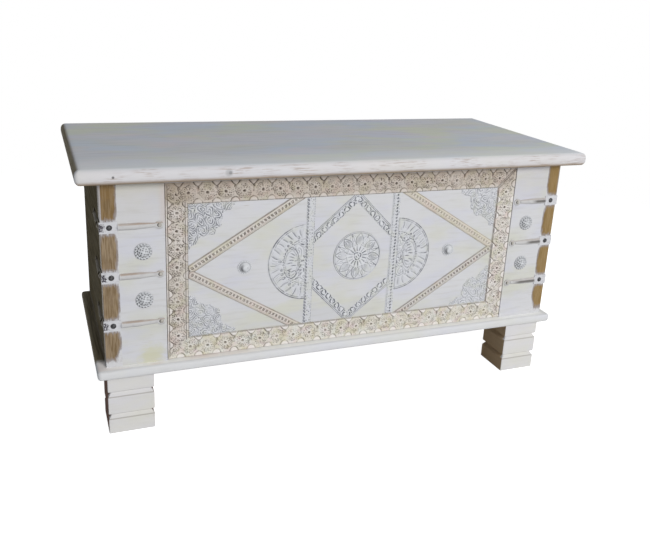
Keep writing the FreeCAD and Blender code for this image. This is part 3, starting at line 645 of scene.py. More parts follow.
def carveBands():
    look = bandLook
    vertex = openingSide + look["vertex"]
    meeting = uprightHigh[0] + look["meeting"]
    reach = math.hypot(vertex - meeting, openingRise)
    slope = math.degrees(math.atan2(openingRise, vertex - meeting))
    for number, corner, side, upSide in fourCorners():
        paint = carvedPaint("carvedBand." + corner, look["tint"][corner], carvedLook["creamGroove"],
                            carvedLook["creamPale"], (look["pink"], look["yellow"]), 5.0 + number,
                            look["dirtAndShade"][corner])
        centre = (side * (vertex + meeting) / 2, fieldMiddle + upSide * openingRise / 2)
        carvedPlate("carvedBand." + corner, "diamond_band_" + corner, centre, -side * upSide * slope,
                    (reach + look["overrun"], look["width"]), bandShape(upSide, 60 + number), paint, look)
    print("diamond bands carved")


carveBands()


# Upright strips beside the middle panel
uprightLook = {
    "pitch": 5.9,
    "rope": {"left": 5.6, "right": 2.2},
    "edge": {"left": -6.6, "right": -5.2},
    "slant": {"left": 0.7, "right": 0.3},
    "dash": {"left": 2.8, "right": 2.2},
    "rows": {"left": (1.2, -3.3), "right": (-1.8, 5.6)},
    "dirtAndShade": 1.15,
    "step": 0.65,
    "relief": 0.34,
    "edgeDirtAndShade": 0.05,
}


def uprightShape(name, side, seed):
    look = {key: value[name] if isinstance(value, dict) else value for key, value in uprightLook.items()}
    dice = np.random.default_rng(seed)

    def shape(u, v, x, z):
        out = -v * side
        a, drawn = handCut(u, look["pitch"], dice)
        rope = out - look["rope"] - drawn(-0.4, 0.4)
        heights = 2.6 - 0.2 * drawn(0, 1)
        heights += pit(np.hypot((a - rope * look["slant"]) * 0.9, rope), look["dash"], 5.2 * drawn(0.6, 1.15))
        for row in look["rows"]:
            dot = np.hypot(a - drawn(-1.6, 1.6), out - row - drawn(-0.8, 0.8))
            heights += pit(dot, 1.5, 1.3 * drawn(-0.4, 1).clip(0))
        heights += speckle(u, v, 2.9, 1.1, 0.8, dice)
        heights += pit(np.hypot(np.mod(u, 2.9) - 1.45, out - look["edge"]), 1.3, 2.0 * drawn(0.3, 1))
        inside = np.minimum((uprightHigh[0] - uprightLow[0]) / 2 - np.abs(v), openingRise - np.abs(u))
        return heights, np.zeros(u.shape), inside
    return shape


def carveUprights():
    paint = whiteCarving("carvedUpright", 14.0, uprightLook["dirtAndShade"])
    for name, side in (("left", -1), ("right", 1)):
        node = "upright_strip_" + name
        centre, (width, height) = faceOf(node)
        carvedPlate("carvedUpright." + name, node, (centre[0], fieldMiddle), 90, (height, width),
                    uprightShape(name, side, 80 + side), paint, uprightLook)
    print("upright strips carved")


carveUprights()


# Chain strips of the small diamond
chainLook = {
    "apexInset": 6.0,
    "apexShift": {"upper": 5.9, "lower": -3.7},
    "endRise": {"upper_left": 39.7, "upper_right": 40.7, "lower_left": 36.0, "lower_right": 46.6},
    "inner": -5.5,
    "outer": 10.5,
    "pitch": 12.8,
    "firstLink": 2.4,
    "link": 4.3,
    "squareness": 2.4,
    "overrun": 36.0,
    "dirtAndShade": 1.5,
    "step": 0.6,
    "relief": 0.34,
    "edgeDirtAndShade": 0.0,
}


def chainShape(side, towards, apexX, length, middleV, seed):
    # towards is one when u runs away from the apex
    look = chainLook
    dice = np.random.default_rng(seed)

    def shape(u, v, x, z):
        across = v + middleV
        run = length / 2 + towards * u - look["firstLink"] + look["pitch"] / 2
        a, drawn = handCut(run, look["pitch"], dice)
        turn = np.arctan2(across, a)
        bent = 1 + 0.1 * np.sin(2 * turn + drawn(0, 6)) + 0.07 * np.sin(3 * turn + drawn(0, 6))
        square = look["squareness"]
        ring = np.abs(a - drawn(-0.7, 0.7)) ** square + np.abs(across - drawn(-0.7, 0.7)) ** square
        ring = bent * ring ** (1 / square)
        heights = 2.2 + 0.5 * (1 - smoothStep(ring, look["link"] - 2.2, look["link"] - 0.8))
        heights += pit(np.hypot(a - drawn(-1, 1), across), 1.2, 1.2 * drawn(-0.6, 1).clip(0))
        shaded = 0.75 + 0.45 * np.sin(turn * 2 + drawn(-0.6, 0.6)) + 0.3 * np.sin(turn * 3 + drawn(0, 6))
        heights += cut(ring - look["link"], 0.95, 3.3 * drawn(0.75, 1.2)) * shaded
        between = look["pitch"] / 2 - np.abs(a)
        for row in (-3.6, 3.2):
            knot = np.hypot((between - 0.6) * 0.9, across - row - drawn(-0.6, 0.6))
            heights += pit(knot, 1.8, 1.7 * drawn(0.1, 1))
        heights += pit(np.hypot(between, across * 0.6), 1.2, 1.6 * drawn(0, 1))
        for row, reach in ((-4.6, 1.5), (5.0, 1.3)):
            mark = np.hypot(a - drawn(-2.5, 2.5), across - row)
            heights += pit(mark, reach, 2.2 * drawn(-0.3, 1).clip(0))
        heights += speckle(u, v, 3.8, 1.2, 1.3, dice)
        for line in (6.9, 9.3):
            heights += cut(across - line, 0.55, 2.3) * (0.75 + 0.4 * np.sin(u * 0.09 + line + seed))
        inside = np.minimum.reduce([across - look["inner"], look["outer"] - across, (x - apexX) * side,
                                    uprightLow[0] - np.abs(x), openingRise - np.abs(z - fieldMiddle)])
        return heights, 0.55 * (1 - smoothStep(ring, look["link"] - 2.6, look["link"] - 1.4)), inside
    return shape


def carveChains():
    look = chainLook
    apex = openingRise - look["apexInset"]
    middleV = (look["inner"] + look["outer"]) / 2
    paint = whiteCarving("carvedChain", 17.0, look["dirtAndShade"])
    for number, corner, side, upSide in fourCorners():
        # the points of the diamond are not in line, nor are its ends level
        apexX = look["apexShift"][corner.split("_")[0]]
        end = look["endRise"][corner]
        run = uprightLow[0] - side * apexX
        slope = math.degrees(math.atan2(apex - end, run))
        length = math.hypot(apex - end, run)
        turn = -side * slope if upSide > 0 else 180 + side * slope
        turned = math.radians(turn)
        centre = (apexX + side * run / 2 - middleV * math.sin(turned),
                  fieldMiddle + upSide * (apex + end) / 2 + middleV * math.cos(turned))
        carvedPlate("carvedChain." + corner, "chain_strip_" + corner, centre, turn,
                    (length + look["overrun"], look["outer"] - look["inner"]),
                    chainShape(side, side * upSide, apexX, length, middleV, 90 + number), paint, look)
    print("chain strips carved")


carveChains()


# Round medallion in the middle
medallionLook = {
    "petals": 8,
    "petalRoot": 19.5,
    "petalTip": 42.0,
    "petalHalf": 7.0,
    "rays": 16,
    "dirtAndShade": 1.1,
    "step": 0.55,
    "relief": 0.6,
    "edgeDirtAndShade": 0.45,
}
medallionCentre, medallionSize = faceOf("centre_medallion")
medallionWidth = medallionSize[0]


def turnedBy(angle, count, shift=0.0):
    # signed angle from the nearest of a number of evenly turned lines
    part = 2 * math.pi / count
    return np.mod(angle - shift * part + part / 2, part) - part / 2


def leaf(radius, turn, root, tip, half):
    # how far a point is inside a pointed leaf that lies along a radius
    share = np.clip((radius * np.cos(turn) - root) / (tip - root), 0, 1)
    return half * np.sin(math.pi * share ** 0.85) - np.abs(radius * np.sin(turn))


def medallionShape(u, v, x, z):
    look = medallionLook
    full = medallionWidth / 2
    radius = np.hypot(u, v)
    angle = np.arctan2(v, u) + 0.1
    uneven = 0.75 + 0.3 * np.sin(3 * angle + 1) + 0.2 * np.sin(7 * angle + radius * 0.3)
    turn = turnedBy(angle, look["petals"])
    behind = turnedBy(angle, look["petals"], 0.5)
    aside = np.abs(radius * np.sin(turn))
    beside = np.abs(radius * np.sin(behind))
    back = leaf(radius, behind, look["petalRoot"] + 4, look["petalTip"], 6.2)
    heights = 1.9 + 1.1 * smoothStep(back, 0, 1.0)
    heights += cut(beside - 1.6, 0.6, 1.5 * uneven) * window(radius, 26, 38, 2)
    heights += pit(np.hypot(beside, (radius - 39.5) * 0.32), 2.0, 3.4 * uneven)
    front = leaf(radius, turn, look["petalRoot"] - 2, look["petalTip"], look["petalHalf"])
    width = front + aside
    raised = 3.0 + cut(aside - 0.3 * width, 0.55, 1.7 * uneven) * window(radius, 21, 38, 2)
    raised += cut(aside - 0.62 * width, 0.55, 1.5 * uneven) * window(radius, 23, 36, 2)
    raised += cut(aside, 0.6, 1.9 * uneven) * window(radius, 20, 33 + 4 * np.sin(5 * angle), 2)
    heights = np.where(front > 0, raised, heights) + cut(front, 0.75, 2.3 * uneven)
    ray = turnedBy(angle, look["rays"], 0.5) * radius
    inner = 3.0 - 2.6 * np.exp(-(ray / 1.05) ** 2) * window(radius, 8.5, 19, 2) * uneven
    inner += cut(radius - 6.2 - 0.7 * np.sin(3 * angle), 1.2, 2.8 * uneven)
    inner += cut(radius - 2.4, 0.8, 1.2 * (1 + np.sin(2 * angle)))
    heights = np.where(radius < look["petalRoot"] + 0.5, inner, heights)
    heights = np.where(radius > full - 2.4, 2.6, heights)
    heights += cut(radius - (full - 2.6), 0.65, 1.5 * uneven)
    # a knock at the lower right has flattened the rim and two petals
    worn = 0.75 * (1 - smoothStep(np.hypot(u - 30, v + 31), 7, 13))
    heights = heights * (1 - worn) + 1.6 * worn
    # painted highlight: the raised parts are paler
    return heights, 0.5 * smoothStep(heights, 2.6, 3.0), full - radius


carvedPlate("carvedMedallion", "centre_medallion", medallionCentre, 0, (medallionWidth, medallionWidth),
            medallionShape, whiteCarving("carvedMedallion", 21.0, medallionLook["dirtAndShade"]), medallionLook)
print("medallion carved")


# Half medallions against the upright strips
fanLook = {
    "middle": 84.0,
    "radius": 68.0,
    "flutes": 16,
    "dots": 19,
    "fluteRoot": 43.0,
    "almond": 27.0,
    "almondHalfHeight": 26.0,
    "almondHalfWidth": 13.0,
    "curls": 13,
    "marks": 22,
    "dirtAndShade": 1.0,
    "step": 0.7,
    "relief": 0.55,
    "edgeDirtAndShade": 0.05,
}


def swirls(a, b, centres, wave):
    # leaves that curl round their own centres; each point belongs to the nearest one
    nearest = np.full(a.shape, 1e9)
    second = np.full(a.shape, 1e9)
    phase = np.zeros(a.shape)
    for centreA, centreB, hand, start, lean in centres:
        da = (a - centreA) * math.cos(lean) + (b - centreB) * math.sin(lean)
        db = (b - centreB) * math.cos(lean) - (a - centreA) * math.sin(lean)
        distance = np.hypot(da, db * 1.5)
        closer = distance < nearest
        second = np.where(closer, nearest, np.minimum(second, distance))
        nearest = np.where(closer, distance, nearest)
        phase = np.where(closer, 2 * math.pi * distance / wave + hand * np.arctan2(db, da) + start, phase)
    return np.sin(phase), second - nearest


def strewn(count, aRange, bRange, gap, dice):
    # centres that keep a distance from each other, each with its own hand, start and lean
    centres = []
    while len(centres) < count:
        a = dice.uniform(*aRange)
        b = dice.uniform(*bRange)
        if all(math.hypot(a - other[0], b - other[1]) > gap for other in centres):
            centres.append((a, b, dice.choice([-2, -1, 1, 2]), dice.uniform(0, 6), dice.uniform(0, math.pi)))
        else:
            gap = gap * 0.995
    return centres


def fanShape(side, seed):
    look = fanLook
    dice = np.random.default_rng(seed)
    marks = [(dice.uniform(6, 41), dice.uniform(-1.4, 1.4), dice.uniform(0, math.pi), dice.uniform(0.2, 1))
             for _ in range(look["marks"])]
    curls = strewn(look["curls"], (2, 42), (-42, 42), 14, dice)

    def shape(u, v, x, z):
        out = x * side - look["middle"]
        up = z - fieldMiddle
        radius = np.hypot(out, up)
        angle = np.arctan2(up, out)
        part = math.pi / look["flutes"]
        aside, drawn = handCut(angle + 0.045 * np.sin(radius * 0.14 + 5 * angle), part, dice)
        share = np.abs(aside) / part * 2
        flute = 2.2 + 0.8 * (1 - share ** 2)
        flute += cut((1 - share) * 5, 1.5, 1.7 * drawn(0.4, 1.1)) * window(radius + drawn(-4, 4), 46, 63, 6)
        flute += 0.4 * np.cos(2.6 * math.pi * share + drawn(0, 3)) * window(radius, 48, 64, 5)
        flute += cut((share - drawn(0.2, 1)) * 6, 2.4, 1.0) * window(radius, 47, 65, 4)
        spread, deep = handCut(angle, math.pi / look["dots"], dice)
        ends = np.hypot(spread * radius, (radius - 46 - deep(-2, 2)) * 0.7)
        flute += pit(ends, 3.0, 4.4 * deep(-0.35, 1.1).clip(0))
        ridge, seam = swirls(out + np.sin(up * 0.3), up + 1.5 * np.sin(out * 0.25), curls, 6.6)
        foliage = 2.6 + 0.62 * ridge + cut(seam, 1.4, 0.9)
        struck = np.zeros(u.shape)
        for reach, turn, lean, depth in marks:
            da = out - reach * math.cos(turn)
            db = up - reach * math.sin(turn)
            long = da * math.cos(lean) + db * math.sin(lean)
            short = db * math.cos(lean) - da * math.sin(lean)
            struck += pit(np.hypot(long * 0.4, short), 1.9, 2.8 * depth)
        zone = smoothStep(radius, look["fluteRoot"], look["fluteRoot"] + 2)
        heights = foliage * (1 - zone) + flute * zone
        for line, depth in ((42.4, 1.1), (39.2, 0.8)):
            heights += cut(radius - line, 0.75, depth)
        core = out - look["almond"]
        almond = np.hypot(core / look["almondHalfWidth"], up / look["almondHalfHeight"])
        heights = np.where(almond < 0.9, 2.7, heights)
        for line, depth in ((1.05, 2.0), (0.84, 1.2)):
            heights += cut((almond - line) * 15, 0.7, depth)
        for height in (-16, -10, -4.5, 0.5, 5.5, 11, 17):
            start = core - 4 * math.sin(height * 1.7)
            slit = np.hypot(start * 0.2, up - height - 0.03 * height * core + 0.02 * core ** 2)
            heights += pit(slit, 1.3, 1.9) * (almond < 0.82)
        heights += 1.25 * struck * (1 - zone)
        low = 1.3 if side > 0 else 0.35 + smoothStep(-up, 5, 40) + 0.75 * window(up, 22, 62, 12)
        broken = 0.85 + 0.35 * np.sin(angle * 17 + seed) + 0.25 * np.sin(angle * 41)
        for line, depth in ((4.2, 1.2), (1.2, 3.0)):
            heights += cut(look["radius"] - radius - line, 0.75, 1.2 * depth * low * broken)
        # painted highlight: the raised parts are paler, most of all in the foliage
        pale = (0.6 - 0.4 * zone) * smoothStep(heights, 2.7, 3.3)
        return heights, pale, np.minimum(look["radius"] - radius, out - 2.5)
    return shape


def carveFans():
    paint = whiteCarving("carvedFan", 25.0, fanLook["dirtAndShade"])
    for name, side in (("left", -1), ("right", 1)):
        node = "half_medallion_" + name
        centre, size = faceOf(node)
        carvedPlate("carvedFan." + name, node, (centre[0], fieldMiddle), 0, size,
                    fanShape(side, 130 + side), paint, fanLook)
    print("half medallions carved")


carveFans()


# Leaf spandrels in the corners of the field
spandrelLook = {
    "outline": ((0.0, 0.0), (1.0, 0.0), (0.97, 0.09), (0.72, 0.22), (0.66, 0.50), (0.54, 0.68), (0.28, 0.73),
                (0.10, 0.94), (0.0, 1.0)),
    "dirtAndShade": {"upper_left": 0.92, "upper_right": 0.66, "lower_left": 0.66, "lower_right": 0.58},
    "curls": 24,
    "gap": 17.0,
    "wave": {-1: 4.9, 1: 6.6},
    "step": 0.65,
    "relief": 0.5,
    "edgeDirtAndShade": 0.15,
}


def insideOutline(points, a, b):
    # signed distance inside a closed outline, positive within
    nearest = np.full(a.shape, 1e9)
    within = np.zeros(a.shape, bool)
    for (x0, y0), (x1, y1) in zip(points, points[1:] + points[:1]):
        runX = x1 - x0
        runY = y1 - y0
        share = np.clip(((a - x0) * runX + (b - y0) * runY) / (runX ** 2 + runY ** 2), 0, 1)
        nearest = np.minimum(nearest, np.hypot(a - x0 - share * runX, b - y0 - share * runY))
        if y0 != y1:
            within ^= ((y0 > b) != (y1 > b)) & (a < x0 + (b - y0) / (y1 - y0) * runX)
    return np.where(within, nearest, -nearest)


def spandrelShape(side, upSide, seed):
    look = spandrelLook
    dice = np.random.default_rng(seed)
    length, height = faceOf("spandrel_upper_right")[1]
    outline = [(a * length, b * height) for a, b in look["outline"]]
    curls = strewn(look["curls"], (0, length), (0, height), look["gap"], dice)

    def shape(u, v, x, z):
        a = openingSide - x * side
        b = openingRise - (z - fieldMiddle) * upSide
        wander = 0.8 * np.sin(a * 0.45 + seed) + 0.8 * np.sin(b * 0.5 + 2 * seed)
        inside = insideOutline(outline, a + wander, b + wander)
        bentA = a + 1.8 * np.sin(b * 0.21 + seed) + 0.9 * np.sin(b * 0.5)
        bentB = b + 1.8 * np.sin(a * 0.19 + 2 * seed) + 0.9 * np.sin(a * 0.46)
        ridge, seam = swirls(bentA, bentB, curls, look["wave"][side])
        uneven = 0.75 + 0.35 * np.sin(a * 0.31 + 2 * np.sin(b * 0.27 + seed))
        heights = 2.3 + 1.35 * ridge * uneven + cut(seam, 1.3, 1.6)
        heights += speckle(a, b, 7.0, 1.7, 1.8, dice)
        # painted highlight: the ridges are paler
        return heights, 0.55 * smoothStep(ridge * uneven, 0.55, 1.0), inside
    return shape


def carveSpandrels():
    for number, corner, side, upSide in fourCorners():
        node = "spandrel_" + corner
        centre, size = faceOf(node)
        paint = whiteCarving("carvedSpandrel." + corner, 29.0 + number, spandrelLook["dirtAndShade"][corner])
        carvedPlate("carvedSpandrel." + corner, node, centre, 0, size,
                    spandrelShape(side, upSide, 150 + number), paint, spandrelLook)
    print("spandrels carved")


carveSpandrels()


# Boards with half-round noses and eased corners
noseLook = {
    "cornerRadius": 6.5,
    "leastRadius": 0.4,
    "rows": 13,
    "cornerSteps": 7,
    "stretch": 30.0,
    "flat": 0.6,
    "lidSquareness": 0.82,
    "railSquareness": 0.6,
}
lidLook = {
    "cool": (194, 205, 220),
    "warm": (208, 211, 184),
    "pink": (220, 206, 206),
    "dust": (186, 188, 190),
    "front": (229, 231, 229),
    "nose": (207, 202, 204),
    "rub": (174, 160, 152),
    "bareWood": (190, 166, 134),
    # place along and above the nose, size, strength and tone of a nail hole and a knot
    "marks": ((-397, 12.8, 2.6, 0.8, (70, 68, 66)), (-227, 13.6, 8.0, 0.45, (150, 150, 150)),
              (-225, 13.4, 3.6, 0.5, (110, 112, 112))),
    "gloss": 0.02,
}
railLook = {
    "front": (226, 227, 226),
    "ledgePaintedLight": (246, 246, 243),
    "pink": (226, 206, 198),
    "gloss": 0.03,
}


def outlineAt(corners, inset):
    # the outline drawn in by the inset; an eased corner also has its side in Y and its turns
    points = []
    for x, y, sideX, *eased in corners:
        if eased:
            sideY, start, sweep = eased
            radius = max(noseLook["cornerRadius"] - inset, noseLook["leastRadius"])
            for turn in np.radians(np.linspace(start, start + sweep, noseLook["cornerSteps"])):
                points.append((x - sideX * (inset + radius) + radius * math.cos(turn),
                               y - sideY * (inset + radius) + radius * math.sin(turn)))
        else:
            points.append((x - sideX * inset, y))
    return points


def lidCorners(name):
    low, high = boxInMm(name)
    x, front, back = high[0], low[1], high[1]
    if name == "lid_board_front":
        return (-x, back, -1), (-x, front, -1, -1, 180, 90), (x, front, 1, -1, 270, 90), (x, back, 1)
    if name == "lid_board_rear":
        return (x, front, 1), (x, back, 1, 1, 0, 90), (-x, back, -1, 1, 90, 90), (-x, front, -1)
    return (-x, back, -1), (-x, front, -1), (x, front, 1), (x, back, 1)


def railCorners(name):
    low, high = boxInMm("base_rail_front")
    backLow, backHigh = boxInMm("base_rail_back")
    x, front, back = high[0], low[1], backHigh[1]
    innerX, innerFront, innerBack = boxInMm("base_rail_right")[0][0], high[1], backLow[1]
    return {
        "base_rail_front": ((-innerX, innerFront, 0), (-x, front, -1, -1, 225, 45),
                            (x, front, 1, -1, 270, 45), (innerX, innerFront, 0)),
        "base_rail_back": ((innerX, innerBack, 0), (x, back, 1), (-x, back, -1), (-innerX, innerBack, 0)),
        "base_rail_left": ((-innerX, innerBack, 0), (-x, back, -1), (-x, front, -1, -1, 180, 45),
                           (-innerX, innerFront, 0)),
        "base_rail_right": ((innerX, innerFront, 0), (x, front, 1, -1, 315, 45), (x, back, 1),
                            (innerX, innerBack, 0)),
    }[name]


def stretchedLike(pattern, points):
    # divides the runs of points as those of the pattern are divided
    result = []
    for number, ((x0, y0), (x1, y1)) in enumerate(zip(pattern, pattern[1:] + pattern[:1])):
        run = math.hypot(x1 - x0, y1 - y0)
        steps = 1 if run < 2 * noseLook["stretch"] else max(1, round(run / noseLook["stretch"] - 0.35))
        start = np.array(points[number])
        end = np.array(points[(number + 1) % len(points)])
        result += [start + (end - start) * step / steps for step in range(steps)]
    return result


def sleeve(rows, count):
    # faces round a stack of rows of points, from the lowest, with both of its ends
    faces = []
    for row in range(rows - 1):
        for number in range(count):
            after = (number + 1) % count
            faces.append([row * count + number, row * count + after,
                          (row + 1) * count + after, (row + 1) * count + number])
    return faces + [list(reversed(range(count))), [(rows - 1) * count + number for number in range(count)]]


def nosedBoard(name, corners, material, body, squareness):
    # rows of the outline from the underside, round the nose, to the top
    low, high = boxInMm(name)
    half = (high[2] - low[2]) / 2
    rows = [(half + noseLook["flat"], low[2])]
    for turn in np.radians(np.linspace(-90, 90, noseLook["rows"])):
        out = max(math.cos(turn), 0) ** squareness
        lift = math.copysign(abs(math.sin(turn)) ** squareness, turn)
        rows.append((half - half * out, low[2] + half + half * lift))
    rows.append((half + noseLook["flat"], high[2]))
    points = []
    for inset, z in rows:
        outline = stretchedLike(outlineAt(corners, 0), outlineAt(corners, inset))
        points += [(x * mm, y * mm, z * mm) for x, y in outline]
    newPiece("washed_" + name, name, points, sleeve(len(rows), len(outline)), material, body)


def lidPaint():
    # the nose has scratches and rubs that show the wood
    look = lidLook
    paint = Paint("lidWhitewash")
    x, y, z = paint.axes()
    low, high = boxInMm("lid_board_front")
    back = boxInMm("lid_board_rear")[1][1]
    ahead = 1 - paint.fade(y, low[1] + 12, low[1] + 110)
    nose = paint.fade(z, low[2] + 1, low[2] + 6) * (1 - paint.fade(z, high[2] - 3, high[2] + 0.5))
    scratch = paint.patches(along(0, 26, 1.9), 4, 33.0, 0.47, 0.66, 0.6)
    patch = paint.patches(along(0, 60, 30), 2, 35.0, 0.38, 0.56)
    colour = paint.layers(
        washColour(paint, 0, 31.0, 0.7, 2.2),
        (paint.patches(along(0, 170, 90), 3, 37.0, 0.42, 0.66) * 0.6, look["cool"]),
        (paint.patches(along(0, 180, 80), 3, 38.4, 0.48, 0.66) * 0.6, look["warm"]),
        (paint.patches(along(0, 150, 70), 3, 41.2, 0.54, 0.7) * 0.35, look["pink"]),
        (paint.patches(along(0, 110, 6), 3, 43.0, 0.48, 0.7) * 0.42, look["dust"]),
        (ahead * 0.6, look["front"]),
        (nose * 0.6, look["nose"]),
        (nose * scratch * patch * 0.75, look["rub"]),
    )
    for markX, markZ, size, strength, tone in look["marks"]:
        spot = paint.apart(markX, low[1], low[2] + markZ)
        colour = paint.blend((1 - paint.fade(spot, size * 0.4, size)) * strength, colour, tone)
    under = 1 - paint.fade(z, low[2] + 1.0, low[2] + 8.5)
    bareWood = paint.blend(0.55, look["bareWood"], plainWoodColour(paint, 0))
    # the ends and the back edge are brown under a thin wash; on the ends this darker brown is partly painted
    # shade
    end = paint.fade(paint.away(x, 0), high[0] - 9, high[0] - 3) * paint.fade(y, low[1] + 7, low[1] + 17)
    brown = paint.high(end, paint.fade(y, back - 9, back - 3))
    colour = paint.layers(colour, (under * 0.9, bareWood), (brown, thinWashColour(paint, 1, 31.0)))
    return finishBoard(paint, colour, 0, 31.0, gloss=look["gloss"])


def railPaint():
    # white in front and round its corners, brown at the sides and back
    look = railLook
    paint = Paint("railWhitewash")
    x, y, z = paint.axes()
    low, high = boxInMm("base_rail_front")
    front, top = low[1], high[2]
    ragged = paint.noise((14, 14, 9), 3, 53.0) * 18
    bare = paint.fade(y - ragged, front + 20, front + 42)
    # painted light: the upward face of the rail behind its nose is painted near white to show as bright as
    # the lit front
    ledgePaintedLight = paint.fade(z, top - 2.5, top - 0.5) * paint.fade(y, front + 3, front + 8)
    pink = (1 - paint.fade(x, -240, -150)) * paint.patches((50, 50, 50), 2, 49.0, 0.35, 0.6)
    colour = paint.layers(washColour(paint, 0, 47.0, 0.35), (0.4, look["front"]),
                          (ledgePaintedLight * 0.9, look["ledgePaintedLight"]), (ledgePaintedLight * pink * 0.5, look["pink"]),
                          (bare, thinWashColour(paint, 1, 51.0)))
    return finishBoard(paint, colour, 0, 47.0, gloss=look["gloss"])


def makeBoards():
    lid = lidPaint()
    for name in ("lid_board_front", "lid_board_middle", "lid_board_rear"):
        nosedBoard(name, lidCorners(name), lid, "lid", noseLook["lidSquareness"])
    rail = railPaint()
    for name in ("base_rail_front", "base_rail_back", "base_rail_left", "base_rail_right"):
        nosedBoard(name, railCorners(name), rail, "case", noseLook["railSquareness"])
    print("lid boards and base rails made")


makeBoards()


# Feet with two grooves
footLook = {
    "topBlock": 30.0,
    "middleBlock": 30.0,
    "bottomBlock": 26.0,
    "grooveWidth": 10.0,
    "grooveDepth": 5.0,
    "upperFlank": 3.0,
    "easing": 0.8,
    "cornerSteps": 4,
    "unevenness": 0.35,
    "white": (226, 223, 219),
    "line": (150, 144, 136),
    # inner is a paler brown than outer, painted light for the shaded faces between the feet
    "inner": (190, 164, 132),
    "outer": (144, 115, 106),
    "rough": 0.7,
    "gloss": 0.0,
}


def footRings(height, full):
    # heights and half widths down one foot, with eased edges
    look = footLook
    ease = look["easing"]
    narrow = full - look["grooveDepth"]
    rings = [(height, full)]
    top = height
    for block in (look["topBlock"], look["middleBlock"]):
        top = top - block
        rings += [(top + ease, full), (top + ease * 0.3, full - ease * 0.3), (top - ease * 0.3, full - ease)]
        flank = top - look["upperFlank"]
        rings += [(flank + 0.4, narrow + 0.5), (flank - 0.5, narrow + 0.3)]
        top = top - look["grooveWidth"]
        rings += [(top + ease, full - ease * 0.8), (top, full - ease * 0.25), (top - ease, full)]
    return rings + [(ease, full), (ease * 0.3, full - ease * 0.3), (0, full - ease)]


def makeFoot(name, material, seed):
    low, high = boxInMm(name)
    leans = np.random.default_rng(seed).uniform(-footLook["unevenness"], 0, (4, 2))
    radius = footLook["easing"] + 0.4
    rings = footRings(high[2], (high[0] - low[0]) / 2)[::-1]
    points = []
    for z, half in rings:
        for corner, sides in enumerate(((1, 1), (-1, 1), (-1, -1), (1, -1))):
            for angle in np.radians(np.linspace(0, 90, footLook["cornerSteps"]) + 90 * corner):
                x, y = ((low[:2] + high[:2]) / 2 + np.array(sides) * (half - radius + leans[corner])
                        + radius * np.array((math.cos(angle), math.sin(angle))))
                points.append((x * mm, y * mm, z * mm))
    faces = sleeve(len(rings), 4 * footLook["cornerSteps"])
    newPiece("washed_" + name, name, points, faces, material, "case", smooth=False)


def footPaint(name, seed, low, high, painted):
    # painted is one for a foot with a white front face; the rest is brown wood with a little run-over
    look = footLook
    paint = Paint(name)
    middleX = (low[0] + high[0]) / 2
    half = (high[0] - low[0]) / 2
    flankY = low[1] + look["grooveDepth"]
    x, y, z = paint.axes()
    ragged = paint.noise((9, 9, 5), 3, seed + 4.0) * 4
    flank = paint.fade(paint.away(x, middleX), half - 1.4, half - 0.7)
    flank = flank * paint.fade(y - ragged * 0.4, low[1] - 0.4, low[1] + 1.0)
    back = paint.high(paint.fade(y - ragged, flankY - 0.5, flankY + 2.5), flank, 1 - painted)
    # a thin grey line along the upper edge of the two lower blocks
    edges = (look["grooveWidth"] + look["middleBlock"] + look["bottomBlock"], look["bottomBlock"])
    line = 1 - paint.fade(paint.low(*[paint.away(z, height + 0.4) for height in edges]), 0.4, 1.3)
    # the face that looks into the shade between the feet gets the paler inner brown, painted light that makes
    # up for that shade
    inner = paint.fade(x, 0, 40) * (1 - paint.fade(x, middleX, middleX + half * 0.8)) * painted
    brown = paint.layers(thinWashColour(paint, 1, seed), (inner * 0.75, look["inner"]),
                         ((1 - inner) * 0.75, look["outer"]))
    colour = paint.layers(washColour(paint, 0, seed, 0.5), (0.5, look["white"]), (line * 0.6, look["line"]),
                          (back, brown))
    return finishBoard(paint, colour, 0, seed, look["rough"], look["gloss"])


def makeFeet():
    names = ("foot_front_left", "foot_front_right", "foot_back_left", "foot_back_right")
    for number, name in enumerate(names):
        paint = footPaint("footPaint." + name, 60.0 + number * 3, *boxInMm(name), int("front" in name))
        makeFoot(name, paint, 200 + number)
    print("feet made")


makeFeet()


# Turned heads of nails and studs
studLook = {
    "rosetteRadius": 14.0,
    "domedRadius": 12.0,
    # count, place as a share of the radius and size of each ring of punch marks
    "dots": ((16, 0.86, 0.1), (12, 0.66, 0.1), (8, 0.46, 0.1), (4, 0.24, 0.09)),
    # the turn at which the painted shade on studs is darkest
    "darkTurn": 215,
    "gloss": 0.2,
    "paint": ((203, 205, 208), (54, 55, 60), (216, 217, 219)),
}
strapLook = {
    "heightShares": (0.2355, 0.5005, 0.7655),
    "thickness": 1.6,
    "reach": 87.5,
    "nailInset": 13.0,
    "nailRadius": 4.5,
    "nailRise": 2.6,
    "endNailRadius": 3.6,
    "endNailRise": 1.8,
    "nail": ((58, 58, 60), (22, 22, 24), (104, 104, 104)),
    "sideNail": (84, 78, 70),
    "endNail": ((164, 160, 152), (50, 47, 42), (200, 198, 192)),
    "sideEndNail": (74, 68, 56),
}
strapHeights = [caseBottom + share * (caseTop - caseBottom) for share in strapLook["heightShares"]]


def domeRise(reach, radius, rise):
    ball = (radius ** 2 + rise ** 2) / (2 * rise)
    return math.sqrt(max(ball ** 2 - min(reach, radius) ** 2, 0)) - (ball - rise)


def softDot(distance, size):
    share = min(max(1 - distance / size, 0), 1)
    return share * share * (3 - 2 * share)


def lowerLeftShade(turn):
    # painted shade: the dark marks of a stud are darkest at its lower left
    return 0.8 + 0.2 * math.cos(turn - math.radians(studLook["darkTurn"]))


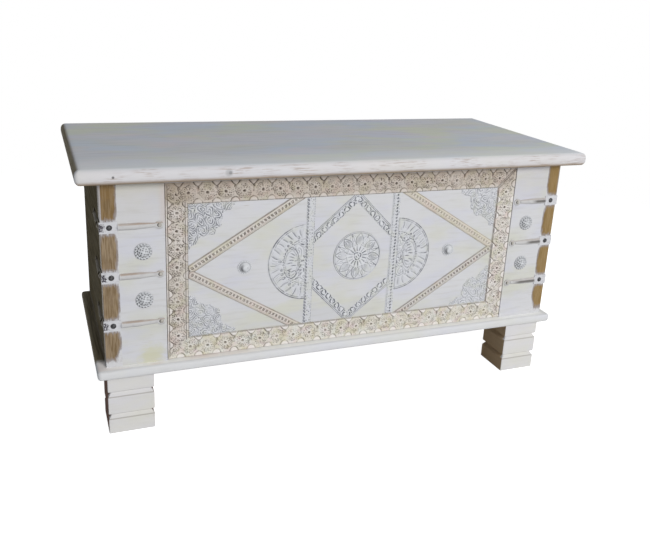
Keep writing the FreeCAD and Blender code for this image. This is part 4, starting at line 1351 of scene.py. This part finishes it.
def rosetteStudRise(radius, height):
    def rise(reach, turn):
        share = reach / radius
        body = 1.5 + (domeRise(reach, radius * 0.68, height - 1.5) if share < 0.68 else 0)
        dirtAndShade = 0.0
        if share > 0.68:
            lobe = abs(math.sin(turn * studLook["dots"][0][0] / 2))
            body += 0.7 * math.sin(math.pi * (share - 0.68) / 0.32) * (0.5 + 0.5 * lobe)
        for count, place, size in studLook["dots"]:
            part = 2 * math.pi / count
            number, aside = divmod(turn + place * 5 + part / 2, part)
            # every punch mark is tilted and struck a little differently
            tilt = math.sin(number * 12.9 + place * 70)
            distance = math.hypot((aside - part / 2) * share * 0.8 + tilt * 0.6 * (share - place),
                                  (share - place) * 1.1 + 0.02 * tilt)
            body -= 1.3 * softDot(distance, size * 1.2)
            dirtAndShade = max(dirtAndShade, 1.15 * softDot(distance, size * 1.35))
        seam = softDot(abs(share - 0.68), 0.05)
        rim = max(share - 0.94, 0) / 0.06
        body -= 0.5 * seam + 1.3 * rim
        return max(body, 0.1), max(dirtAndShade, 0.6 * seam, 0.5 * rim) * lowerLeftShade(turn)
    return rise


def domedStudRise(radius, height):
    def rise(reach, turn):
        share = reach / radius
        body = 1.2 + (domeRise(reach, radius * 0.75, (height - 1.2) * 0.8) if share < 0.75 else 0)
        seam = softDot(abs(share - 0.76), 0.07)
        part = 2 * math.pi / 18
        aside = ((turn + part / 2) % part - part / 2) * share
        dot = softDot(math.hypot(aside, share - 0.88), 0.08)
        # painted shade: a dark crescent on the lower left of the dome
        paintedShadeCrescent = softDot(abs(share - 0.5), 0.26) * max(0, math.cos(turn - math.pi * 1.08)) ** 0.8
        fleck = softDot(math.hypot(share * math.cos(turn) - 0.3, share * math.sin(turn) - 0.05), 0.12)
        dirtAndShade = max(seam * 0.6, dot * 0.9, paintedShadeCrescent * 0.8, fleck * 0.9)
        return max(body - 0.4 * seam - 0.5 * dot - (0.9 if share > 0.97 else 0), 0.1), dirtAndShade * lowerLeftShade(turn)
    return rise


def nailRise(radius, height, ringed):
    def rise(reach, turn):
        share = reach / radius
        seam = softDot(abs(share - 0.6), 0.16) if ringed else 0
        # painted shade: an end nail without a ring has a dark crescent on its left
        paintedShadeCrescent = 0 if ringed else softDot(abs(share - 0.85), 0.4) * max(0, math.cos(turn - math.pi))
        return max(domeRise(reach, radius, height) - 0.35 * seam, 0.05), max(seam, paintedShadeCrescent)
    return rise


def metalPaint(name, tones, seed, rough, metal, dirtAndShadeShare, sideTone=None):
    # sideTone is the colour of the heads on the sides of the trunk
    base, dark, bright = tones
    paint = Paint(name)
    # the grimeAndShade attribute darkens the heads with dirt and painted shade
    colour = paint.layers(base, (paint.patches((3.0, 3.0, 3.0), 3, seed, 0.35, 0.7) * 0.5, bright),
                          (paint.carving("grimeAndShade") * dirtAndShadeShare, dark))
    if sideTone:
        onSide = paint.fade(paint.away(paint.axes()[0], 0), caseSide, caseSide + 1)
        colour = paint.blend(onSide, colour, sideTone)
    pitted = paint.bump(paint.noise((1.4, 1.4, 1.4), 2, seed + 2), 0.1, 0.6)
    return paint.finish(colour, rough, studLook["gloss"], pitted, metal)


def headsFrom(name, node, places, radius, rings, segments, rise, material):
    # closed round heads that stand on their carrier; rise gives the height and dirt at a radius and angle
    turns = [2 * math.pi * segment / segments for segment in range(segments)]
    head = [(0, 0, *rise(0, 0))]
    for ring in range(1, rings + 1):
        reach = radius * ring / rings
        head += [(reach, turn, *rise(reach, turn)) for turn in turns]
    head += [(radius, turn, -0.4, 0.8) for turn in turns]
    lift = Vector((0, 0, 1))
    points = []
    faces = []
    for centre, facing in places:
        first = len(points)
        outward = Vector(facing)
        side = lift.cross(outward)
        for reach, turn, height, _ in head:
            flat = side * (reach * math.cos(turn)) + lift * (reach * math.sin(turn))
            points.append(tuple((Vector(centre) + flat + outward * height) * mm))
        for segment in range(segments):
            after = (segment + 1) % segments
            faces.append([first, first + 1 + segment, first + 1 + after])
            for ring in range(rings):
                start = first + 1 + ring * segments
                outer = start + segments
                faces.append([start + segment, outer + segment, outer + after, start + after])
        last = first + 1 + rings * segments
        faces.append([last + segment for segment in reversed(range(segments))])
    piece = newPiece(name, node, points, faces, material, "case")
    addCarving(piece, "grimeAndShade", np.tile([row[3] for row in head], len(places)))


def strapPlaces(inset):
    # on the front and on the side, at each strap of both corners
    thickness = strapLook["thickness"]
    places = []
    for side in (-1, 1):
        for z in strapHeights:
            places.append(((side * (caseSide - inset), caseFront - thickness, z), (0, -1, 0)))
            places.append(((side * (caseSide + thickness), caseFront + inset, z), (side, 0, 0)))
    return places


def studPlaces(x, y, heights):
    return [((side * x, y, z), (0, -1, 0)) for side in (-1, 1) for z in heights]


def makeHeads():
    studPaint = metalPaint("paintedStud", studLook["paint"], 71.0, 0.66, 0.0, 1.0)
    nailPaint = metalPaint("darkNail", strapLook["nail"], 73.0, 0.42, 0.6, 0.8, strapLook["sideNail"])
    endPaint = metalPaint("paintedNail", strapLook["endNail"], 75.0, 0.6, 0.1, 1.0, strapLook["sideEndNail"])
    radius, endRadius = strapLook["nailRadius"], strapLook["endNailRadius"]
    headsFrom("cornerNails", "strap_corner_nails", strapPlaces(strapLook["nailInset"]), radius, 10, 28,
              nailRise(radius, strapLook["nailRise"], True), nailPaint)
    headsFrom("endNails", "strap_end_nails", strapPlaces(strapLook["reach"]), endRadius, 8, 24,
              nailRise(endRadius, strapLook["endNailRise"], False), endPaint)
    low, high = boxInMm("rosette_studs")
    radius = studLook["rosetteRadius"]
    places = studPlaces(high[0] - radius, caseFront, (low[2] + radius, high[2] - radius))
    headsFrom("rosetteStuds", "rosette_studs", places, radius, 30, 104,
              rosetteStudRise(radius, caseFront - low[1]), studPaint)
    low, high = boxInMm("domed_studs")
    radius = studLook["domedRadius"]
    places = studPlaces(high[0] - radius, groundY, [(low[2] + high[2]) / 2])
    headsFrom("domedStuds", "domed_studs", places, radius, 24, 72,
              domedStudRise(radius, groundY - low[1]), studPaint)
    print("nails and studs made")


makeHeads()


# Straps and corner covers
coverLook = {
    "brass": (125, 107, 84),
    "brassDeep": (108, 88, 60),
    "brassBright": (168, 150, 124),
    "brassUpper": (118, 94, 58),
    "gold": (150, 122, 66),
    "goldEdge": (104, 86, 58),
    "side": (70, 63, 52),
    "wash": (206, 206, 208),
    "washShade": (176, 170, 168),
    "washEdge": (118, 106, 104),
    "feather": 8.0,
    "rough": 0.5,
    "gloss": 0.15,
    "metal": 0.2,
}
strapWash = {
    "wash": (206, 206, 209),
    "bar": (190, 188, 184),
    "fleck": (170, 168, 172),
    "upper": (166, 148, 134),
    "lower": (160, 160, 162),
    "rubbed": (92, 88, 84),
    "bend": (52, 47, 56),
    "side": (76, 70, 58),
    "rough": 0.62,
    "gloss": 0.12,
}


def nearStrap(paint, z):
    # distance in height from the nearest strap
    return paint.low(*[paint.away(z, height) for height in strapHeights])


def coverPaint():
    look = coverLook
    paint = Paint("brassCover")
    x, _, z = paint.axes()
    low, high = boxInMm("corner_cover_right")
    topStrap = strapHeights[2]
    ragged = (paint.noise((2.6, 2.6, 8), 4, 81.0, 0.65) - 0.5) * 17
    gap = nearStrap(paint, z)
    across = paint.away(x, 0)
    right = paint.fade(x, -1, 1)
    # the metal is bare except at the straps, the base, the stile and, high up on the left, the corner
    clearOfStrap = paint.fade(gap + ragged, 7.5, 7.5 + look["feather"])
    clearOfBase = paint.fade(z + ragged, caseBottom + 6, caseBottom + 6 + look["feather"] * 1.6)
    bulge = (1 - paint.fade(gap, 8, 30)) * 3.5 + (1 - paint.fade(z, caseBottom + 10, caseBottom + 42)) * 8
    clearOfStile = paint.fade(across + ragged * 0.45 - bulge, low[0] - 2.0, low[0] + 4.0)
    strip = (1 - paint.fade(x, 0, 1) * 0.8) * paint.fade(z, topStrap - 30, topStrap + 10) * 0.8
    clearOfCorner = 1 - paint.fade(across, high[0] - 2.8, high[0] - 1.8) * strip
    bare = clearOfStrap * clearOfBase * clearOfStile * clearOfCorner
    brush = paint.patches((2.2, 2.2, 26), 4, 83.0, 0.4, 0.62)
    cloud = paint.patches((9, 9, 22), 3, 85.0, 0.42, 0.62)
    upper = paint.fade(z, topStrap - 20, topStrap + 24) * (1 - right * 0.6)
    brass = paint.layers(look["brass"], (upper * 0.9, look["brassUpper"]), (cloud * 0.7, look["brassDeep"]),
                         (brush * (0.42 - upper * 0.2), look["brassBright"]), (right * 0.5, look["gold"]),
                         ((1 - paint.fade(across, low[0], low[0] + 12)) * right * 0.45, look["goldEdge"]))
    wash = paint.blend(paint.patches((9, 9, 5), 3, 87.0, 0.5, 0.7) * 0.35, look["wash"], look["washShade"])
    edge = paint.low(bare * (1 - bare) * 3.2, 1.0)
    onSide = paint.fade(across, caseSide - 0.3, caseSide + 0.2)
    colour = paint.layers(wash, (bare, brass), (edge * 0.7, look["washEdge"]), (onSide, look["side"]))
    return paint.finish(colour, look["rough"], look["gloss"], paint.bump(brush, 0.1, 0.5),
                        bare * look["metal"])


def strapPaint():
    # whitewash worn to brown iron along the bar's upper edge, and painted grey shadow under it
    look = strapWash
    paint = Paint("paintedStrap")
    x, y, z = paint.axes()
    above = [z - height for height in strapHeights]
    nearest = nearStrap(paint, z)
    across = paint.away(x, 0)
    right = paint.fade(x, -5, 5)
    onBar = 1 - paint.fade(across, caseSide - 28, caseSide - 24)
    upper = paint.high(*[paint.fade(rise, 2.2, 3.4) * (1 - paint.fade(rise, 4.8, 5.8)) for rise in above])
    # painted shadow: a grey band under each bar
    lower = paint.high(*[paint.fade(0 - rise, 2.4, 4.2) * (1 - paint.fade(0 - rise, 6, 9)) for rise in above])
    patch = paint.patches((34, 34, 9), 3, 91.0, 0.36, 0.56)
    fleck = paint.patches((7, 7, 3), 3, 93.0, 0.5, 0.68)
    # the paint has gone where the left straps bend round the corner
    ragged = (paint.noise((2.4, 2.4, 2.4), 3, 99.0) - 0.5) * 18
    chips = paint.patches((2.0, 2.0, 2.0), 2, 98.0, 0.38, 0.5)
    bend = paint.fade(across + ragged, caseSide - 7.0, caseSide - 3.5) * chips
    bend = bend * (1 - right) * (1 - paint.fade(nearest, 5.0, 7.5))
    wander = (paint.noise((60, 60, 30), 2, 95.0) - 0.5) * 70
    rubbed = paint.fade(across + wander, caseSide - 68, caseSide - 52) * right
    onSide = paint.fade(across, caseSide - 0.6, caseSide - 0.2)
    onSide = onSide * paint.fade(y, caseFront - 0.4, caseFront + 0.6)
    colour = paint.layers(
        look["wash"],
        (onBar * 0.6, look["bar"]),
        (fleck * 0.35, look["fleck"]),
        (upper * onBar * (patch * 0.45 + 0.4) * (1 - right * 0.6), look["upper"]),
        (lower * onBar * 0.35, look["lower"]),
        (rubbed * onBar * (1 - paint.fade(nearest, 1.4, 3.4)) * 0.85, look["rubbed"]),
        (bend * 0.95, look["bend"]),
        (onSide, look["side"]),
    )
    pitted = paint.bump(paint.noise((2, 2, 2), 2, 97.0), 0.12, 0.7)
    return paint.finish(colour, look["rough"], look["gloss"], pitted)


dress(coverPaint(), "corner_cover_left", "corner_cover_right")
dress(strapPaint(), "corner_straps_left", "corner_straps_right")
print("covers and straps dressed")


# Boards, hinges and fasteners that keep their CAD shape
stileLook = {
    "stainPlace": (-345, 12),
    "yellow": (198, 196, 150),
    "green": (198, 196, 174),
    "pink": (202, 186, 178),
    "shadow": (160, 146, 130),
}
ironLook = {
    "bright": (82, 75, 68),
    "dark": (52, 48, 46),
    "rough": 0.48,
    "gloss": 0.3,
    "metal": 0.7,
}


def stilePaint():
    look = stileLook
    paint = Paint("stileWhitewash")
    x, y, z = paint.axes()
    topStrap = strapHeights[2]
    leftStile = 1 - paint.fade(x, -caseSide / 2, 0)
    # a yellow stain low on the left stile, a greenish one under the lid and a pink one beside the border
    stainX, stainZ = look["stainPlace"]
    spot = paint.apart(stainX, caseFront, caseBottom + stainZ)
    stain = 1 - paint.fade(spot + (paint.noise((14, 14, 8), 2, 103.0) - 0.5) * 26, 6, 28)
    upper = paint.fade(z - (paint.noise((40, 40, 40), 2, 104.0) - 0.5) * 40, caseTop - 38, caseTop - 8)
    beside = paint.fade(x, -fieldSide - 12, -fieldSide - 2) * leftStile
    beside = beside * paint.fade(z, topStrap - 4, topStrap + 6)
    shadow = paint.fade(z, caseTop - 8, caseTop) * 0.12 + paint.fade(z, caseTop - 100, caseTop - 30) * 0.1
    inner = paint.fade(y, floorLow[1] - 0.4, floorLow[1] - 0.2)
    colour = paint.layers(washColour(paint, 0, 101.0, 0.4), (stain * 0.55, look["yellow"]),
                          (upper * leftStile * 0.4, look["green"]), (beside * 0.4, look["pink"]),
                          (shadow, look["shadow"]), (inner, plainWoodColour(paint, 0)))
    return finishBoard(paint, colour, 0, 101.0)


def fieldPaint():
    paint = Paint("fieldWhitewash")
    colour = paint.blend(insideCase(paint), washColour(paint, 0, 105.0, 0.25), plainWoodColour(paint, 0))
    return finishBoard(paint, colour, 0, 105.0)


def thinWashPaint(name, axis, seed):
    paint = Paint(name)
    # the wash of the base has run a little way up the board
    splash = paint.noise((24, 24, 9), 3, seed + 2.0)
    foot = 1 - paint.fade(paint.axes()[2] - splash * 16, caseBottom - 8, caseBottom + 3)
    colour = paint.layers(thinWashColour(paint, axis, seed), (foot * 0.15, washLook["cool"]),
                          (insideCase(paint), plainWoodColour(paint, axis)))
    return finishBoard(paint, colour, axis, seed, thinWashLook["rough"], thinWashLook["gloss"])


def plainWoodPaint():
    paint = Paint("plainWood")
    return finishBoard(paint, plainWoodColour(paint, 0), 0, 121.0, plainLook["rough"], plainLook["gloss"])


def ironPaint():
    look = ironLook
    paint = Paint("hingeIron")
    cloud = paint.patches((9, 9, 9), 4, 111.0, 0.4, 0.7)
    colour = paint.blend(cloud, look["bright"], look["dark"])
    return paint.finish(colour, look["rough"], look["gloss"], paint.bump(cloud, 0.08, 0.5), look["metal"])


dress(stilePaint(), "front_stile_left", "front_stile_right")
dress(fieldPaint(), "front_field_board")
dress(thinWashPaint("sideThinWash", 1, 107.0), "side_panel_left", "side_panel_right")
dress(thinWashPaint("backThinWash", 0, 109.0), "back_panel")
dress(plainWoodPaint(), "floor_board", "lid_batten_left", "lid_batten_right", "foot_dowels")
dress(ironPaint(), "hinge_lid_leaf_left", "hinge_lid_leaf_right", "hinge_case_leaf_left",
      "hinge_case_leaf_right", "hinge_pins", "hinge_case_screws", "hinge_lid_screws", "lid_batten_screws",
      "back_nails")
print("boards and hinges dressed")


# Floor, light and camera
stageLook = {
    "floorColour": 0.7,
    "floorGlow": 0.93,
    "floorReach": 2.2,
    "floorFade": (900, 1900),
    "ambient": (0.270, 0.287, 0.310),
    "lampColour": (1.0, 0.99, 0.98),
    "key": {"place": (0.75, -3.8, 1.9), "target": (0.0, -0.1, 0.2), "size": 1.7, "power": 121.0},
    "window": {"place": (0.9, -0.05, 1.25), "target": (0.15, 0.0, 0.45), "size": 0.9, "power": 1.5},
}
cameraLook = {
    "place": (-0.50014, -1.2814, 0.70572),
    "yaw": 22.95,
    "pitch": 17.85,
    "roll": 3.15,
    "focalPixels": 745.53,
    "centrePixels": (338.3, 234.55),
    "pictureWidth": 650,
    "pictureHeight": 551,
    "sensor": 36.0,
}


def inScene(name, data):
    thing = bpy.data.objects.new(name, data)
    bpy.context.scene.collection.objects.link(thing)
    return thing


def backdropRay(paint):
    # one for the rays that should meet the plain white backdrop
    rays = ("Is Camera Ray", "Is Glossy Ray", "Is Transmission Ray")
    return paint.high(*[paint.put("LightPath", out=ray) for ray in rays])


def makeFloor():
    look = stageLook
    reach = look["floorReach"]
    mesh = bpy.data.meshes.new("floor")
    mesh.from_pydata([(-reach, -reach, 0), (reach, -reach, 0), (reach, reach, 0), (-reach, reach, 0)], [],
                     [[0, 1, 2, 3]])
    paint = Paint("floorWhite")
    matt = paint.put("BsdfDiffuse", sockets={"Color": (*[look["floorColour"]] * 3, 1)})
    seen = paint.blend(backdropRay(paint), (0, 0, 0, 1), (*[look["floorGlow"]] * 3, 1))
    glow = paint.put("Emission", sockets={"Color": seen, "Strength": 1.0})
    lit = paint.put("AddShader", sockets={0: matt, 1: glow})
    far = paint.fade(paint.apart(0, 0, 0), *look["floorFade"])
    mesh.materials.append(paint.close(
        paint.put("MixShader", sockets={0: far, 1: lit, 2: paint.put("BsdfTransparent")})))
    inScene("floor", mesh)


def makeWorld():
    paint = Paint("studio", "worlds")
    colour = paint.blend(backdropRay(paint), (*stageLook["ambient"], 1), (1, 1, 1, 1))
    bpy.context.scene.world = paint.close(
        paint.put("Background", sockets={"Color": colour, "Strength": 1.0}), "World")


def makeLight(name):
    look = stageLook[name]
    light = bpy.data.lights.new(name, "AREA")
    light.shape = "DISK"
    light.size = look["size"]
    light.energy = look["power"]
    light.color = stageLook["lampColour"]
    lamp = inScene(name, light)
    lamp.location = look["place"]
    lamp.rotation_euler = (Vector(look["target"]) - Vector(look["place"])).to_track_quat("-Z", "Y").to_euler()


def makeCamera():
    look = cameraLook
    yaw, pitch, roll = (math.radians(look[name]) for name in ("yaw", "pitch", "roll"))
    ahead = Vector((math.sin(yaw) * math.cos(pitch), math.cos(yaw) * math.cos(pitch), -math.sin(pitch)))
    level = Vector((math.cos(yaw), -math.sin(yaw), 0))
    upright = level.cross(ahead)
    right = level * math.cos(roll) + upright * math.sin(roll)
    up = upright * math.cos(roll) - level * math.sin(roll)
    data = bpy.data.cameras.new("photoView")
    data.sensor_width = look["sensor"]
    data.lens = look["focalPixels"] * look["sensor"] / look["pictureWidth"]
    data.shift_x = (look["pictureWidth"] / 2 - look["centrePixels"][0]) / look["pictureWidth"]
    data.shift_y = (look["centrePixels"][1] - look["pictureHeight"] / 2) / look["pictureWidth"]
    camera = inScene("photoView", data)
    turn = Matrix((right, up, -ahead)).transposed().to_4x4()
    camera.matrix_world = Matrix.Translation(Vector(look["place"])) @ turn
    bpy.context.scene.camera = camera


makeFloor()
makeWorld()
makeLight("key")
makeLight("window")
makeCamera()
bpy.context.scene.view_settings.view_transform = "Standard"
print("stage, light and camera set")
